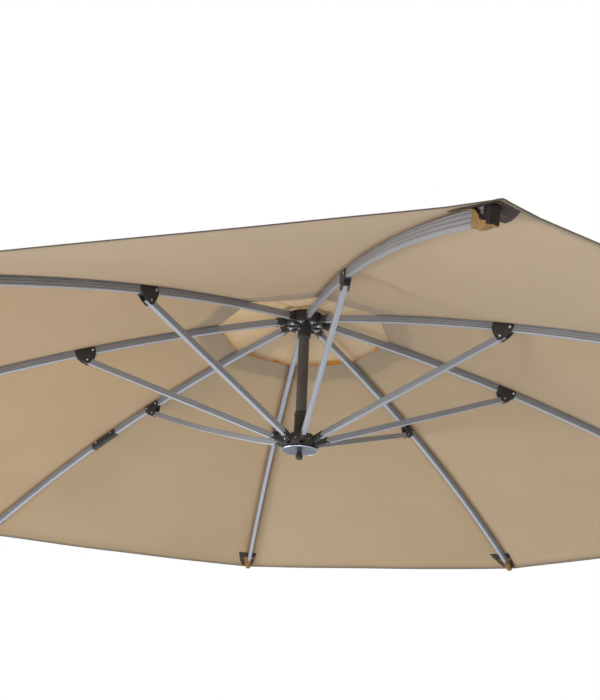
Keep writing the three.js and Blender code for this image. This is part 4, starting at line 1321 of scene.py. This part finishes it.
def makeMast():
    low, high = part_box("mast_tube")
    bm = bmesh.new()
    rows = [low[2] + (high[2] - low[2]) * i / 6 for i in range(7)]
    addLoft(bm, [[(x, y, z) for x, y in mastSection()] for z in rows])
    setPiece("mast_tube_drawn", bm, "mast", "tubeCoat", "coated_alloy", ["mast_tube"])
    refined("mast_head", "mast", *moulded, 0.0022)
    refined("mast_foot", "mast", "coat", "coated_steel", 0.0016)
    refined("slider", "slider", *moulded, 0.0020)
    refined("slider_lever", "release_lever", "grip", "charcoal_plastic", 0.0022)
    refined("crank_housing", "mast", *moulded, 0.0030, segments=3)
    refined("crank_arm", "crank", "coat", "coated_steel", 0.0014)

    # crank grip, ribbed round its middle
    low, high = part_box("crank_knob")
    spot = Vector(((low[0] + high[0]) / 2, 0, (low[2] + high[2]) / 2))
    long, radius = high[1] - low[1], (high[0] - low[0]) / 2
    profile = [(0, 0), (radius * 0.6, 0), (radius * 0.86, 0.0015), (radius, 0.006)]
    for i in range(9):
        at = 0.012 + i * 0.0056
        profile += [(radius * 0.93, at), (radius * 0.98, at + 0.0014), (radius * 0.98, at + 0.0034),
                    (radius * 0.93, at + 0.0048)]
    profile += [(radius, long - 0.008), (radius * 0.92, long - 0.002), (radius * 0.75, long), (0, long)]
    bm = bmesh.new()
    addLathe(bm, profile, Matrix.Translation((spot.x, high[1], spot.z)) @ Matrix.Rotation(math.pi / 2, 4,
                                                                                          "X"), 48)
    setPiece("crank_knob_turned", bm, "crank_grip", "grip", "charcoal_plastic", ["crank_knob"])

    # screws and a trim on the crank housing, screws on the head, and four bolts lower down round the mast
    bolts, trims = bmesh.new(), bmesh.new()
    low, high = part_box("crank_housing")
    for x in (low[0] + 0.012, high[0] - 0.012):
        for z in (low[2] + 0.014, high[2] - 0.014):
            addBolt(bolts, (x, low[1], z), (0, -1, 0), 0.0040, 0.0016)
    profile = [(0.0090, 0.0), (0.0250, 0.0), (0.0262, 0.0012), (0.0262, 0.0004), (0.0270, -0.002),
               (0.009, -0.002)]
    face = Matrix.Translation((0, low[1] + 0.0004, (low[2] + high[2]) / 2))
    addLathe(trims, profile, face @ Matrix.Rotation(math.pi / 2, 4, "X"), 48)
    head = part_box("mast_head")
    for side, y in ((-1, head[0][1]), (1, head[1][1])):
        for z in (head[0][2] + 0.016, head[0][2] + 0.052):
            addBolt(bolts, (-0.018, y, z), (0, side, 0), 0.0042, 0.0018)
            addBolt(bolts, (0.018, y, z), (0, side, 0), 0.0042, 0.0018)
    for i in range(4):
        turn = Matrix.Rotation(math.radians(45 + 90 * i), 4, "Z")
        spot = turn @ Vector((0.060, 0, 0.150 + 0.0126))
        addRod(bolts, 0.0062, spot, spot + Vector((0, 0, 0.005)), segments=6)
        addRod(bolts, 0.0085, spot, spot + Vector((0, 0, 0.0012)), segments=24)
    setPiece("mast_fasteners", bolts, "mast", *polished)
    setPiece("crank_trim", trims, "mast", "grip", "charcoal_plastic")

    bm = bmesh.new()
    low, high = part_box("slider")
    for z in (low[2] + 0.012, low[2] + 0.020, high[2] - 0.012, high[2] - 0.020):
        grow = 0.0012
        outer = roundedRect(mast["depth"] + 0.022 + grow, mast["width"] + 0.022 + grow, 0.0235, 6)
        inner = roundedRect(mast["depth"] + 0.020, mast["width"] + 0.020, 0.0225, 6)
        addBand(bm, outer, inner, z, z + 0.003)
    setPiece("slider_ribs", bm, "slider", *moulded)
    low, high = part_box("slider_lever")
    bm = bmesh.new()
    for i in range(7):
        z = low[2] + 0.016 + i * 0.006
        addBox(bm, (low[0] - 0.0008, -0.011, z), (low[0] + 0.0016, 0.011, z + 0.0026))
    roundOff(bm, 0.0005, 40)
    setPiece("lever_ribs", bm, "release_lever", "grip", "charcoal_plastic")


def addBand(bm, outer, inner, low, high):
    # a closed ring between two outlines
    rows = []
    for outline, z in ((outer, low), (outer, high), (inner, high), (inner, low)):
        verts = [bm.verts.new((x, y, z)) for x, y in outline]
        rows.append([bm.edges.new((verts[i], verts[(i + 1) % len(verts)])) for i in range(len(verts))])
    for first, second in zip(rows, rows[1:] + rows[:1]):
        bmesh.ops.bridge_loops(bm, edges=first + second)


def makeBase():
    refined("base_cross", "base", "coat", "coated_steel", 0.0010)
    refined("brake_pedal", "brake", *moulded, 0.0020)
    for i in range(4):
        refined(f"ballast_slab_{i + 1}", "base", "concrete", "slab_concrete", 0.006, segments=3)
    # rubber end caps in the beams, bolts through the flanges, ribs on the pedal
    low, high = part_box("base_cross")
    far = high[0]
    caps, bolts = bmesh.new(), bmesh.new()
    for i in range(4):
        turn = Matrix.Rotation(i * math.pi / 2, 4, "Z")
        addBox(caps, (far - 0.030, -0.0215, 0.0075), (far - 0.0015, 0.0215, 0.0565), turn)
        for along in (0.30, 0.46):
            for side in (-1, 1):
                spot = turn @ Vector((along, side * 0.058, 0.004))
                addRod(bolts, 0.0065, spot, spot + Vector((0, 0, 0.0052)), segments=6)
                addRod(bolts, 0.0095, spot, spot + Vector((0, 0, 0.0014)), segments=24)
    roundOff(caps, 0.0025, 40)
    setPiece("beam_end_caps", caps, "base", "rubber", "charcoal_plastic")
    setPiece("base_bolts", bolts, "base", *polished)
    low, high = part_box("brake_pedal")
    bm = bmesh.new()
    for i in range(6):
        y = low[1] + 0.010 + i * 0.008
        top = 0.104 + 0.0035 + 0.0014
        addBox(bm, (low[0] + 0.008, y, high[2] - 0.0130), (high[0] - 0.008, y + 0.0034, top))
    roundOff(bm, 0.0006, 40)
    setPiece("pedal_grip_ribs", bm, "brake", "rubber", "charcoal_plastic")


makeCanopy()
makeOpeningLitFrill()
makeVentCap()
makePockets()
print("canopy made")
makeCrown()
makeRunner()
print("crown and runner made")
makeBoom()
makeMast()
makeBase()
print("boom, mast and base made")
